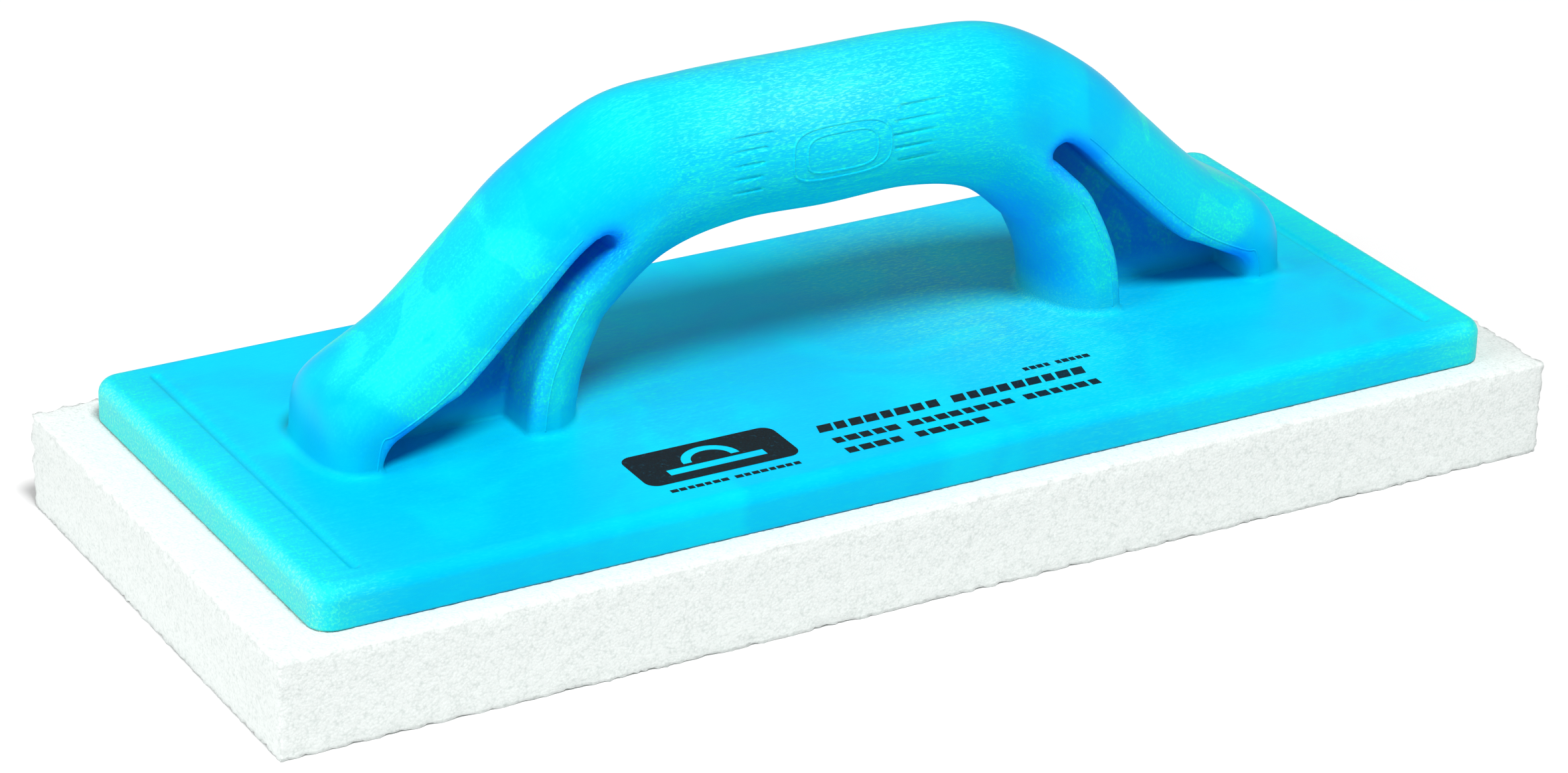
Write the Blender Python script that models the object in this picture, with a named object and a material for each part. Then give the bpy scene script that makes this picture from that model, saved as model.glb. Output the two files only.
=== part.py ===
"""Grout float: a one-piece moulded polymer board and handle with a bonded sponge pad.

The origin is the middle of the pad's working face. +X runs along the float, +Y across
it and +Z up through the handle. All sizes are in metres.

The board and the bridge handle are one structural-foam moulding. The handle is a round
grip that forks at each end into a sloping strap and an upright leg, with a pocket
between them on each side of a thin central web.
"""

import math

import bmesh
import bpy

# ---- clearances -------------------------------------------------------------
FIT_GAP = 0.0003            # between any two pieces that lie against each other

# ---- sponge pad -------------------------------------------------------------
PAD_END_OVERHANG = 0.012        # past the board at each end
PAD_SIDE_OVERHANG = 0.007       # past the board along each side
PAD_THICKNESS = 0.0225

# ---- adhesive film ----------------------------------------------------------
FILM_THICKNESS = 0.0003
FILM_INSET = 0.0015         # from the board's edge all round

# ---- board ------------------------------------------------------------------
BOARD_LENGTH = 0.300
BOARD_WIDTH = 0.120
BOARD_THICKNESS = 0.010
BOARD_CORNER_RADIUS = 0.0055
BOARD_TOP_FILLET = 0.0035
BOARD_FILLET_STEPS = 4
CORNER_STEPS = 6

# ---- grooves across the ends of the board -----------------------------------
GROOVE_END_DISTANCE = 0.0125    # from the board's end to the groove's middle
GROOVE_SIDE_DISTANCE = 0.007    # from the board's side to the groove's end
GROOVE_WIDTH = 0.0026
GROOVE_DEPTH = 0.0007
GROOVE_STEPS = 16               # facets round the groove's cutter

# ---- handle -----------------------------------------------------------------
TOE_END_DISTANCE = 0.0245       # from the board's end to the handle's toe
FINGER_GAP_LENGTH = 0.1226      # leg to leg, on the board
FINGER_GAP_HEIGHT = 0.0368      # board to grip
GRIP_HEIGHT = 0.0353
GRIP_WIDTH = 0.0345
FOOT_WIDTH = 0.0330             # strap and leg, across the float
STRAP_THICKNESS = 0.0173
TOE_THICKNESS = 0.0125
LEG_THICKNESS = 0.0162
STRAP_CROWN = 0.0140            # how far the strap's outer face bulges past its edges
TOE_CROWN = 0.0085
LEG_CROWN = 0.0130              # the same for the leg's face towards the fingers
PARTING_LAND = 0.0008           # narrow flat along both sides, at the greatest width
WEB_THICKNESS = 0.0030
POCKET_END_WIDTH = 0.0053       # the rounded top end of a pocket
TOE_LIP = 0.0050                # height of the pocket's corner inside the toe
HANDLE_SINK = 0.0010            # how deep the handle is carried into the board

# Side view of one half of the handle, from the middle of the grip to the board. Each
# station gives along and up: the outer line as shares of half the span and of the
# handle's rise, the inner line as shares of half the finger gap and of its height.
OUTER_LINE = (
    (0.000, 1.000), (0.239, 0.998), (0.412, 0.963), (0.580, 0.796),
    (0.700, 0.600), (0.828, 0.394), (0.974, 0.216), (1.000, 0.000),
)
INNER_LINE = (
    (0.000, 1.000), (0.359, 1.008), (0.652, 0.899), (0.856, 0.631),
    (0.912, 0.505), (0.972, 0.288), (0.992, 0.125), (1.000, 0.000),
)
GRIP_END = 2                    # last station with the grip's own round section
STRAP_END = 5                   # last station before the strap thins towards the toe
LAST = len(OUTER_LINE) - 1
STEPS_PER_STATION = 3
RING_STEPS = 12                 # facets round each half of the handle's section
POCKET_STEPS = 10               # facets along each long wall of a pocket
TOE_STEPS = 5
FINE_STEPS = 40                 # places tried in each station when a point is looked for

# ---- printed marks ----------------------------------------------------------
INK_THICKNESS = 0.0003
BADGE_LENGTH = 0.038
BADGE_WIDTH = 0.0155
BADGE_CORNER_RADIUS = 0.003
BADGE_ALONG = -0.0465
BADGE_FRONT_DISTANCE = 0.0195   # from the board's front edge to the badge's middle
ICON_LENGTH = 0.024
ICON_BAR = 0.0026
ICON_ARCH_LENGTH = 0.0140
ICON_ARCH_HEIGHT = 0.0062
ICON_ARCH_BAR = 0.0022
ICON_ARCH_STEPS = 12
MARK_CORNER_STEPS = 2
# Each caption line, printed as a plain bar: where it starts and ends along the board,
# how far its middle is from the board's front edge, and how wide it is.
PRINTED_LINES = {
    "printed_title": (-0.0189, 0.0515, 0.0206, 0.0034),
    "printed_subtitle": (-0.0189, 0.0515, 0.0140, 0.0026),
    "printed_size_line": (-0.0189, 0.0180, 0.0085, 0.0026),
    "printed_code_line": (0.0385, 0.0565, 0.0267, 0.0016),
    "printed_badge_line": (-0.0625, -0.0300, 0.0082, 0.0013),
}

# ---- levels and halves that several pieces share ----------------------------
FILM_BOTTOM = PAD_THICKNESS + FIT_GAP
BOARD_BOTTOM = FILM_BOTTOM + FILM_THICKNESS + FIT_GAP
BOARD_TOP = BOARD_BOTTOM + BOARD_THICKNESS
INK_BOTTOM = BOARD_TOP + FIT_GAP
BOARD_FRONT = -BOARD_WIDTH / 2
BADGE_CENTRE = (BADGE_ALONG, BOARD_FRONT + BADGE_FRONT_DISTANCE)
PAD_LENGTH = BOARD_LENGTH + 2 * PAD_END_OVERHANG
PAD_WIDTH = BOARD_WIDTH + 2 * PAD_SIDE_OVERHANG
HALF_SPAN = BOARD_LENGTH / 2 - TOE_END_DISTANCE
HALF_GAP = FINGER_GAP_LENGTH / 2
HANDLE_RISE = FINGER_GAP_HEIGHT + GRIP_HEIGHT


# ---- general helpers --------------------------------------------------------
def clear_scene():
    """Remove everything that the file opened with."""
    for thing in list(bpy.data.objects):
        bpy.data.objects.remove(thing)


def make_material(name, colour, roughness, metallic=0.0):
    """A plain Principled finish."""
    material = bpy.data.materials.new(name)
    material.use_nodes = True
    shader = material.node_tree.nodes["Principled BSDF"]
    shader.inputs["Base Color"].default_value = (*colour, 1.0)
    shader.inputs["Roughness"].default_value = roughness
    shader.inputs["Metallic"].default_value = metallic
    return material


def add_object(name, mesh_data, material=None, cutter=False):
    """Turn a bmesh into a named object; a cutter is a guide and is never built."""
    mesh = bpy.data.meshes.new(name)
    bmesh.ops.recalc_face_normals(mesh_data, faces=mesh_data.faces)
    mesh_data.to_mesh(mesh)
    mesh_data.free()
    thing = bpy.data.objects.new(name, mesh)
    bpy.context.collection.objects.link(thing)
    if material is not None:
        mesh.materials.append(material)
    if cutter:
        thing.hide_render = True
        thing.display_type = "WIRE"
    return thing


def add_boolean(target, tool, operation):
    """Cut or join one object with another, exactly."""
    modifier = target.modifiers.new(tool.name, "BOOLEAN")
    modifier.object = tool
    modifier.operation = operation
    modifier.solver = "EXACT"


def shade_round(thing, sharp_degrees=32.0):
    """Smooth shading with the real corners kept sharp."""
    thing.data.shade_smooth()
    thing.data.set_sharp_from_angle(angle=math.radians(sharp_degrees))


def rounded_rectangle(length, width, radius, steps=CORNER_STEPS, centre=(0.0, 0.0)):
    """Outline of a rectangle with round corners, counter-clockwise."""
    outline = []
    for corner, (sign_x, sign_y) in enumerate(((1, 1), (-1, 1), (-1, -1), (1, -1))):
        for step in range(steps + 1):
            angle = math.pi / 2 * (corner + step / steps)
            outline.append((
                centre[0] + sign_x * (length / 2 - radius) + radius * math.cos(angle),
                centre[1] + sign_y * (width / 2 - radius) + radius * math.sin(angle),
            ))
    return outline


def add_prism(mesh_data, rings):
    """Close a stack of equal rings into one solid body."""
    layers = []
    for ring in rings:
        layers.append([mesh_data.verts.new(point) for point in ring])
    count = len(layers[0])
    for below, above in zip(layers, layers[1:]):
        for index in range(count):
            following = (index + 1) % count
            mesh_data.faces.new((below[index], below[following], above[following], above[index]))
    mesh_data.faces.new(list(reversed(layers[0])))
    mesh_data.faces.new(layers[-1])


def slab(outline, bottom, top):
    """Two rings for a flat plate with the given outline."""
    return [[(x, y, level) for x, y in outline] for level in (bottom, top)]


# ---- the handle's two side-view lines ---------------------------------------
def spline_point(line, place):
    """Point on a smooth curve through a line's stations; place 0 is the grip's middle."""
    def station(index):
        if index < 0:
            along, up = line[-index]
            return -along, up
        if index > LAST:
            return tuple(2 * a - b for a, b in zip(line[LAST], line[LAST - 1]))
        return line[index]

    first = min(int(place), LAST - 1)
    share = place - first
    corners = [station(first + offset) for offset in (-1, 0, 1, 2)]
    weights = (
        -share ** 3 + 2 * share ** 2 - share,
        3 * share ** 3 - 5 * share ** 2 + 2,
        -3 * share ** 3 + 4 * share ** 2 + share,
        share ** 3 - share ** 2,
    )
    return tuple(
        0.5 * sum(weight * corner[axis] for weight, corner in zip(weights, corners))
        for axis in (0, 1)
    )


def outer_point(place):
    along, up = spline_point(OUTER_LINE, place)
    return along * HALF_SPAN, up * HANDLE_RISE


def inner_point(place):
    along, up = spline_point(INNER_LINE, place)
    return along * HALF_GAP, up * FINGER_GAP_HEIGHT


def offset_point(curve, place, distance):
    """Point at a distance to the right of a curve's direction of travel."""
    step = 0.01
    x0, z0 = curve(max(place - step, 0.0))
    x1, z1 = curve(min(place + step, LAST))
    run = math.hypot(x1 - x0, z1 - z0)
    x, z = curve(place)
    return x + (z1 - z0) / run * distance, z - (x1 - x0) / run * distance


def blend(place, start, end, first, last):
    """Ease a size from first to last between two stations."""
    share = min(max((place - start) / (end - start), 0.0), 1.0)
    share = share * share * (3 - 2 * share)
    return first + (last - first) * share


def half_width(place):
    return blend(place, GRIP_END, STRAP_END, GRIP_WIDTH, FOOT_WIDTH) / 2


def outer_crown(place):
    """Depth of the round part of the section, above the strap's edges."""
    if place < STRAP_END:
        return blend(place, GRIP_END, STRAP_END, GRIP_HEIGHT / 2, STRAP_CROWN)
    return blend(place, STRAP_END, LAST, STRAP_CROWN, TOE_CROWN)


def inner_crown(place):
    return blend(place, GRIP_END, STRAP_END, GRIP_HEIGHT / 2, LEG_CROWN)


def strap_line(place):
    """Underside of the strap, which is the pocket's outer wall."""
    return offset_point(outer_point, place, STRAP_THICKNESS)


def leg_line(place):
    """Back of the leg, which is the pocket's inner wall."""
    return offset_point(inner_point, place, -LEG_THICKNESS)


def pocket_top():
    """Places on the strap line and the leg line where the pocket is first wide enough."""
    for leg_step in range(FINE_STEPS, LAST * FINE_STEPS):
        leg_place = leg_step / FINE_STEPS
        leg = leg_line(leg_place)
        strap_place = min(
            (step / FINE_STEPS for step in range(STRAP_END * FINE_STEPS)),
            key=lambda place: math.dist(leg, strap_line(place)),
        )
        if math.dist(leg, strap_line(strap_place)) >= POCKET_END_WIDTH:
            return strap_place, leg_place
    raise ValueError("the strap and the leg leave no room for a pocket")


def toe_turn():
    """Curve from the strap's underside round the pocket's corner, down inside the toe."""
    foot_x = HALF_SPAN - TOE_THICKNESS
    start_x, start_z = strap_line(STRAP_END)
    points = []
    for step in range(1, TOE_STEPS + 1):
        share = step / TOE_STEPS
        rest = 1 - share
        points.append((
            rest * rest * start_x + (1 - rest * rest) * foot_x,
            rest * rest * start_z + 2 * rest * share * TOE_LIP,
        ))
    return points


# ---- the handle ------------------------------------------------------------
def handle_ring(place, side):
    """One section of the handle: a crowned outer face and a crowned inner face."""
    outer_x, outer_z = outer_point(place)
    inner_x, inner_z = inner_point(place)
    depth = math.hypot(outer_x - inner_x, outer_z - inner_z)
    along = (outer_x - inner_x) / depth
    up = (outer_z - inner_z) / depth
    deepest_crown = (depth - PARTING_LAND) / 2
    top_crown = min(outer_crown(place), deepest_crown)
    low_crown = min(inner_crown(place), deepest_crown)
    ring = []
    for start, crown, middle in ((0.0, top_crown, depth - top_crown), (math.pi, low_crown, low_crown)):
        for step in range(RING_STEPS + 1):
            angle = start + math.pi * step / RING_STEPS
            rise = middle + crown * math.sin(angle)
            ring.append((
                side * (inner_x + along * rise),
                half_width(place) * math.cos(angle),
                BOARD_TOP + inner_z + up * rise,
            ))
    return ring


def handle_rings():
    """Sections from the left foot over the grip to the right foot, sunk into the board."""
    places = [step / STEPS_PER_STATION for step in range(LAST * STEPS_PER_STATION + 1)]
    rings = [handle_ring(place, -1) for place in reversed(places)]
    rings += [handle_ring(place, 1) for place in places[1:]]
    sunk = [[(x, y, BOARD_TOP - HANDLE_SINK) for x, y, _ in ring] for ring in (rings[0], rings[-1])]
    return [sunk[0], *rings, sunk[1]]


def spread(start, end, count):
    """Evenly spaced places from start to end, both included."""
    return [start + (end - start) * step / count for step in range(count + 1)]


def pocket_outline():
    """Side view of a pocket: up the leg, round the top end, down the strap to the toe."""
    strap_start, leg_start = pocket_top()
    strap = [strap_line(place) for place in spread(strap_start, STRAP_END, POCKET_STEPS)]
    leg = [leg_line(place) for place in spread(leg_start, LAST, POCKET_STEPS)]
    middle_x = (strap[0][0] + leg[0][0]) / 2
    middle_z = (strap[0][1] + leg[0][1]) / 2
    radius = math.dist(strap[0], leg[0]) / 2
    start = math.atan2(leg[0][1] - middle_z, leg[0][0] - middle_x)
    turn = []
    for step in range(1, CORNER_STEPS):
        angle = start - math.pi * step / CORNER_STEPS
        turn.append((middle_x + radius * math.cos(angle), middle_z + radius * math.sin(angle)))
    toe = toe_turn()
    floor = -HANDLE_SINK / 2
    ends = [(toe[-1][0], floor), (leg[-1][0], floor)]
    return list(reversed(leg)) + turn + strap + toe + ends


def build_pocket_cutter():
    """The four pockets, two on each side of the web."""
    mesh_data = bmesh.new()
    outline = pocket_outline()
    reach = max(GRIP_WIDTH, FOOT_WIDTH)
    for side_x in (-1, 1):
        for side_y in (-1, 1):
            rings = []
            for across in (WEB_THICKNESS / 2, reach):
                rings.append([(side_x * x, side_y * across, BOARD_TOP + z) for x, z in outline])
            add_prism(mesh_data, rings)
    return add_object("pocket_cutter", mesh_data, cutter=True)


def build_handle_guide():
    """The bridge handle with its pockets cut, ready to be joined to the board."""
    mesh_data = bmesh.new()
    add_prism(mesh_data, handle_rings())
    guide = add_object("handle_guide", mesh_data, cutter=True)
    add_boolean(guide, build_pocket_cutter(), "DIFFERENCE")
    return guide


# ---- the pieces --------------------------------------------------------------
def build_groove_cutter():
    """Two round-bottomed grooves across the board near its ends."""
    mesh_data = bmesh.new()
    length = BOARD_WIDTH - 2 * GROOVE_SIDE_DISTANCE
    drop = (GROOVE_WIDTH ** 2 / 4 - GROOVE_DEPTH ** 2) / (2 * GROOVE_DEPTH)
    radius = drop + GROOVE_DEPTH
    for side in (-1, 1):
        middle = side * (BOARD_LENGTH / 2 - GROOVE_END_DISTANCE)
        rings = []
        for across in (-length / 2, length / 2):
            ring = []
            for step in range(GROOVE_STEPS):
                angle = 2 * math.pi * step / GROOVE_STEPS
                ring.append((
                    middle + radius * math.cos(angle),
                    across,
                    BOARD_TOP + drop + radius * math.sin(angle),
                ))
            rings.append(ring)
        add_prism(mesh_data, rings)
    return add_object("groove_cutter", mesh_data, cutter=True)


def build_moulded_body(material):
    """Board and handle in one moulding."""
    mesh_data = bmesh.new()
    rings = slab(
        rounded_rectangle(BOARD_LENGTH, BOARD_WIDTH, BOARD_CORNER_RADIUS),
        BOARD_BOTTOM, BOARD_TOP - BOARD_TOP_FILLET,
    )
    for step in range(1, BOARD_FILLET_STEPS + 1):
        angle = math.pi / 2 * step / BOARD_FILLET_STEPS
        inset = BOARD_TOP_FILLET * (1 - math.cos(angle))
        outline = rounded_rectangle(
            BOARD_LENGTH - 2 * inset, BOARD_WIDTH - 2 * inset, BOARD_CORNER_RADIUS - inset,
        )
        level = BOARD_TOP - BOARD_TOP_FILLET * (1 - math.sin(angle))
        rings.append([(x, y, level) for x, y in outline])
    add_prism(mesh_data, rings)
    body = add_object("moulded_body", mesh_data, material)
    add_boolean(body, build_groove_cutter(), "DIFFERENCE")
    add_boolean(body, build_handle_guide(), "UNION")
    shade_round(body)
    return body


def build_adhesive_film(material):
    """The bond between the board's underside and the pad."""
    mesh_data = bmesh.new()
    outline = rounded_rectangle(
        BOARD_LENGTH - 2 * FILM_INSET, BOARD_WIDTH - 2 * FILM_INSET, BOARD_CORNER_RADIUS - FILM_INSET,
    )
    add_prism(mesh_data, slab(outline, FILM_BOTTOM, FILM_BOTTOM + FILM_THICKNESS))
    return add_object("adhesive_film", mesh_data, material)


def build_sponge_pad(material):
    """The square-cut sponge block that does the work."""
    mesh_data = bmesh.new()
    corners = ((1, 1), (-1, 1), (-1, -1), (1, -1))
    outline = [(side_x * PAD_LENGTH / 2, side_y * PAD_WIDTH / 2) for side_x, side_y in corners]
    add_prism(mesh_data, slab(outline, 0.0, PAD_THICKNESS))
    return add_object("sponge_pad", mesh_data, material)


def build_printed_badge(material):
    """A plain badge with a float pictogram left open in it."""
    mesh_data = bmesh.new()
    outline = rounded_rectangle(
        BADGE_LENGTH, BADGE_WIDTH, BADGE_CORNER_RADIUS, centre=BADGE_CENTRE,
    )
    add_prism(mesh_data, slab(outline, INK_BOTTOM, INK_BOTTOM + INK_THICKNESS))
    badge = add_object("printed_badge", mesh_data, material)
    add_boolean(badge, build_icon_cutter(), "DIFFERENCE")
    return badge


def build_icon_cutter():
    """The pictogram: a flat board, and over it an arched handle."""
    mesh_data = bmesh.new()
    bottom = INK_BOTTOM - INK_THICKNESS
    top = INK_BOTTOM + 2 * INK_THICKNESS
    x, y = BADGE_CENTRE
    base = y - (ICON_BAR + ICON_ARCH_HEIGHT) / 2 - ICON_ARCH_BAR / 4
    bar = rounded_rectangle(
        ICON_LENGTH, ICON_BAR, ICON_BAR / 4, MARK_CORNER_STEPS, (x, base + ICON_BAR / 2),
    )
    add_prism(mesh_data, slab(bar, bottom, top))
    foot = base + ICON_BAR + ICON_ARCH_BAR / 2
    add_prism(mesh_data, slab(arch_outline(x, foot), bottom, top))
    return add_object("icon_cutter", mesh_data, cutter=True)


def arch_outline(x, foot):
    """A bridge shape: half an oval ring standing on its two feet."""
    outline = []
    there = range(ICON_ARCH_STEPS + 1)
    for shrink, order in ((0.0, there), (ICON_ARCH_BAR, reversed(there))):
        for step in order:
            angle = math.pi * step / ICON_ARCH_STEPS
            outline.append((
                x + (ICON_ARCH_LENGTH / 2 - shrink) * math.cos(angle),
                foot + (ICON_ARCH_HEIGHT - shrink) * math.sin(angle),
            ))
    return outline


def build_printed_line(name, material):
    """One caption line, as a plain bar of ink."""
    start, end, front_distance, width = PRINTED_LINES[name]
    centre = ((start + end) / 2, BOARD_FRONT + front_distance)
    outline = rounded_rectangle(end - start, width, width / 4, MARK_CORNER_STEPS, centre)
    mesh_data = bmesh.new()
    add_prism(mesh_data, slab(outline, INK_BOTTOM, INK_BOTTOM + INK_THICKNESS))
    return add_object(name, mesh_data, material)


def main():
    clear_scene()
    polymer = make_material("cyan structural-foam polymer", (0.0, 0.56, 0.83), 0.38)
    sponge = make_material("white hydro sponge", (0.90, 0.91, 0.88), 0.95)
    glue = make_material("clear hot-melt adhesive", (0.78, 0.76, 0.66), 0.40)
    ink = make_material("black pad-printing ink", (0.012, 0.014, 0.016), 0.45)
    build_sponge_pad(sponge)
    build_adhesive_film(glue)
    build_moulded_body(polymer)
    build_printed_badge(ink)
    for name in PRINTED_LINES:
        build_printed_line(name, ink)


main()
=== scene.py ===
"""Looks of a grout float: one blue moulding, board and bridge handle, on a white sponge.

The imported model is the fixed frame. Every size here is in metres and is taken from it,
or repeats the named size that the model was designed with.
"""
import logging
import math
from dataclasses import dataclass
from enum import Enum
from typing import Any, Iterable, Sequence

import bmesh
import bpy
import numpy as np
from mathutils import Matrix, Vector


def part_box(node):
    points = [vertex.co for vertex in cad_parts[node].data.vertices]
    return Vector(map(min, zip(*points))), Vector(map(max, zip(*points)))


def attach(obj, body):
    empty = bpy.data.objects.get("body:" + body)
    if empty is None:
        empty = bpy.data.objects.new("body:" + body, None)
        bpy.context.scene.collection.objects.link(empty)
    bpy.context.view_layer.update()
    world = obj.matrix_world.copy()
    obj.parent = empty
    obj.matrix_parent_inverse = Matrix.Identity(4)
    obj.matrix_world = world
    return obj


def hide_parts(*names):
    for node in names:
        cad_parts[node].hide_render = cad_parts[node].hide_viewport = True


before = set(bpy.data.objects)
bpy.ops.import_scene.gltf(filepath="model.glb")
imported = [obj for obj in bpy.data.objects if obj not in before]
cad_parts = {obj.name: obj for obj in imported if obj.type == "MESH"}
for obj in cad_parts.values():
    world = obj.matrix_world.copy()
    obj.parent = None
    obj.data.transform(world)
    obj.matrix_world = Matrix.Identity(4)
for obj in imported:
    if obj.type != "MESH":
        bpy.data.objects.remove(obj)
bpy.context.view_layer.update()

MM = 0.001
LOG = logging.getLogger("grout_float")

Point = tuple[float, float, float]
Colour = tuple[float, float, float, float]


class Body(str, Enum):
    """The bodies that a piece can ride on."""

    ROOT = "root"


class Slot(str, Enum):
    """The record's material slots."""

    POLYMER = "polymer"
    SPONGE = "sponge"
    ADHESIVE = "adhesive"
    INK = "ink"


# ---- shared helpers ----------------------------------------------------------------
def hex_colour(code: str) -> Colour:
    """Turn an sRGB hex value into a linear colour.

    Args:
        code: Six hex digits, with or without a leading #.

    Returns:
        Linear red, green and blue, and an alpha of 1.
    """
    code = code.lstrip("#")
    channels = [int(code[start:start + 2], 16) / 255 for start in (0, 2, 4)]
    linear = [c / 12.92 if c <= 0.04045 else ((c + 0.055) / 1.055) ** 2.4 for c in channels]
    return (*linear, 1.0)


def add_node(
    tree: bpy.types.NodeTree,
    kind: str,
    settings: dict[str, Any] | None = None,
    values: dict[Any, Any] | None = None,
    links: dict[Any, bpy.types.NodeSocket] | None = None,
) -> bpy.types.Node:
    """Add a node with its settings, its sockets' values and its incoming links.

    Args:
        tree: The tree that the node joins.
        kind: The node's Blender type name.
        settings: Properties of the node itself.
        values: Socket name or number to the value it keeps.
        links: Socket name or number to the socket that feeds it.

    Returns:
        The new node.
    """
    node = tree.nodes.new(kind)
    for name, value in (settings or {}).items():
        setattr(node, name, value)
    for name, value in (values or {}).items():
        node.inputs[name].default_value = value
    for name, source in (links or {}).items():
        tree.links.new(source, node.inputs[name])
    return node


def calculate(
    tree: bpy.types.NodeTree, how: str, a: bpy.types.NodeSocket, b: bpy.types.NodeSocket | float,
) -> bpy.types.NodeSocket:
    """One step of arithmetic between a socket and another socket or a number.

    Args:
        tree: The tree that the node joins.
        how: The kind of arithmetic.
        a: The first value.
        b: The second value, a socket or a number.

    Returns:
        The socket of the result.
    """
    node = add_node(tree, "ShaderNodeMath", settings={"operation": how}, links={0: a})
    if isinstance(b, (int, float)):
        node.inputs[1].default_value = b
    else:
        tree.links.new(b, node.inputs[1])
    return node.outputs[0]


def new_piece(name: str, mesh: bpy.types.Mesh) -> bpy.types.Object:
    """Put a mesh in the scene as an object at the origin.

    Args:
        name: The object's name.
        mesh: Its mesh.

    Returns:
        The object.
    """
    piece = bpy.data.objects.new(name, mesh)
    bpy.context.scene.collection.objects.link(piece)
    return piece


def mesh_from_lists(
    name: str,
    points: Iterable[Sequence[float]],
    edges: Iterable[Sequence[int]] = (),
    faces: Iterable[Sequence[int]] = (),
) -> bpy.types.Mesh:
    """Make a mesh from points, edges and faces.

    Args:
        name: The mesh's name.
        points: Its points.
        edges: Pairs of point numbers.
        faces: Rings of point numbers.

    Returns:
        The mesh.
    """
    mesh = bpy.data.meshes.new(name)
    mesh.from_pydata([tuple(p) for p in points], [tuple(e) for e in edges], [tuple(f) for f in faces])
    mesh.update()
    return mesh


def store_attribute(mesh: bpy.types.Mesh, name: str, values: np.ndarray) -> None:
    """Keep one number, or one vector, for each point of a mesh.

    Args:
        mesh: The mesh that keeps them.
        name: The attribute's name.
        values: Shape (n,) for numbers or (n, 3) for vectors.
    """
    if values.ndim == 1:
        attribute = mesh.attributes.new(name, "FLOAT", "POINT")
        attribute.data.foreach_set("value", values.astype(np.float32))
    else:
        attribute = mesh.attributes.new(name, "FLOAT_VECTOR", "POINT")
        attribute.data.foreach_set("vector", values.astype(np.float32).ravel())


def ease(share: np.ndarray | float) -> np.ndarray | float:
    """A smooth step from 0 to 1 as the share goes from 0 to 1."""
    share = np.clip(share, 0.0, 1.0)
    return share * share * (3.0 - 2.0 * share)


def ramp(value: np.ndarray, start: float, length: float) -> np.ndarray:
    """A smooth step from 0 to 1 that begins where the value is at the start."""
    return ease((value - start) / length)


def smoothed(values: np.ndarray, count: int) -> np.ndarray:
    """Running mean of a row of values, with its ends kept.

    Args:
        values: The row.
        count: How many neighbours, an odd number, share in each mean.

    Returns:
        A row of the same length.
    """
    padded = np.pad(values, count // 2, mode="edge")
    return np.convolve(padded, np.ones(count) / count, mode="valid")


def round_max(a: np.ndarray, b: np.ndarray, radius: Any) -> np.ndarray:
    """Where both fields are inside, with the edge between them rounded.

    Args:
        a: One field.
        b: The other field.
        radius: Radius of the rounding, one for all or one for each point.

    Returns:
        The joint field.
    """
    return np.minimum(np.maximum(a, b), -radius) + np.hypot(
        np.maximum(a + radius, 0.0), np.maximum(b + radius, 0.0)
    )


def round_min(a: np.ndarray, b: np.ndarray, radius: Any) -> np.ndarray:
    """Where either field is inside, with the corner between them filleted.

    Args:
        a: One field.
        b: The other field.
        radius: Radius of the fillet, one for all or one for each point.

    Returns:
        The joint field.
    """
    return np.maximum(np.minimum(a, b), radius) - np.hypot(
        np.maximum(radius - a, 0.0), np.maximum(radius - b, 0.0)
    )


def graded(stops: Sequence[tuple[float, float]], start: float = 0.0) -> np.ndarray:
    """Grid lines that are closer together where the shape is finer.

    Args:
        stops: Each stretch's end and the spacing on the way to it.
        start: Where the first stretch begins.

    Returns:
        The lines' places, in rising order.
    """
    lines = [start]
    for end, spacing in stops:
        count = max(1, round((end - lines[-1]) / spacing))
        lines += list(np.linspace(lines[-1], end, count + 1)[1:])
    return np.array(lines)


def both_ways(half: np.ndarray) -> np.ndarray:
    """Grid lines on both sides of 0 from those on one side."""
    return np.concatenate([-half[:0:-1], half])


# ---- geometry nodes ---------------------------------------------------------------------
class NodeShape:
    """A geometry node tree with named inputs, which turns one mesh into another."""

    def __init__(self, name: str, inputs: dict[str, tuple[str, Any]]) -> None:
        """Open the tree.

        Args:
            name: The tree's name.
            inputs: Each input's name to its socket type and its usual value.
        """
        self.tree = bpy.data.node_groups.new(name, "GeometryNodeTree")
        interface = self.tree.interface
        interface.new_socket("Geometry", in_out="INPUT", socket_type="NodeSocketGeometry")
        self.identifiers: dict[str, str] = {}
        for label, (kind, value) in inputs.items():
            socket = interface.new_socket(label, in_out="INPUT", socket_type=kind)
            if value is not None:
                socket.default_value = value
            self.identifiers[label] = socket.identifier
        interface.new_socket("Geometry", in_out="OUTPUT", socket_type="NodeSocketGeometry")
        self.source = self.tree.nodes.new("NodeGroupInput").outputs

    def add(self, kind: str, **parts: dict) -> bpy.types.Node:
        """Add a node to the tree; the parts are those of add_node."""
        return add_node(self.tree, kind, **parts)

    def close(self, geometry: bpy.types.NodeSocket) -> None:
        """End the tree in real geometry that carries the finish.

        Args:
            geometry: The socket of the shaped geometry.
        """
        real = self.add("GeometryNodeRealizeInstances", links={0: geometry})
        dressed = self.add(
            "GeometryNodeSetMaterial",
            links={"Geometry": real.outputs[0], "Material": self.source["Material"]},
        )
        self.add("NodeGroupOutput", links={0: dressed.outputs[0]})

    def run(self, name: str, mesh: bpy.types.Mesh, values: dict[str, Any]) -> bpy.types.Object:
        """Shape a mesh with the tree and keep the result as a plain piece.

        Args:
            name: The finished piece's name.
            mesh: What goes in.
            values: Input names to values.

        Returns:
            The finished piece, with no modifier left on it.
        """
        carrier = new_piece(name + "_carrier", mesh)
        modifier = carrier.modifiers.new("shape", "NODES")
        modifier.node_group = self.tree
        for label, value in values.items():
            modifier[self.identifiers[label]] = value
        carrier.update_tag()
        graph = bpy.context.evaluated_depsgraph_get()
        made = bpy.data.meshes.new_from_object(carrier.evaluated_get(graph), depsgraph=graph)
        made.name = name
        bpy.data.objects.remove(carrier)
        return new_piece(name, made)


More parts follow.
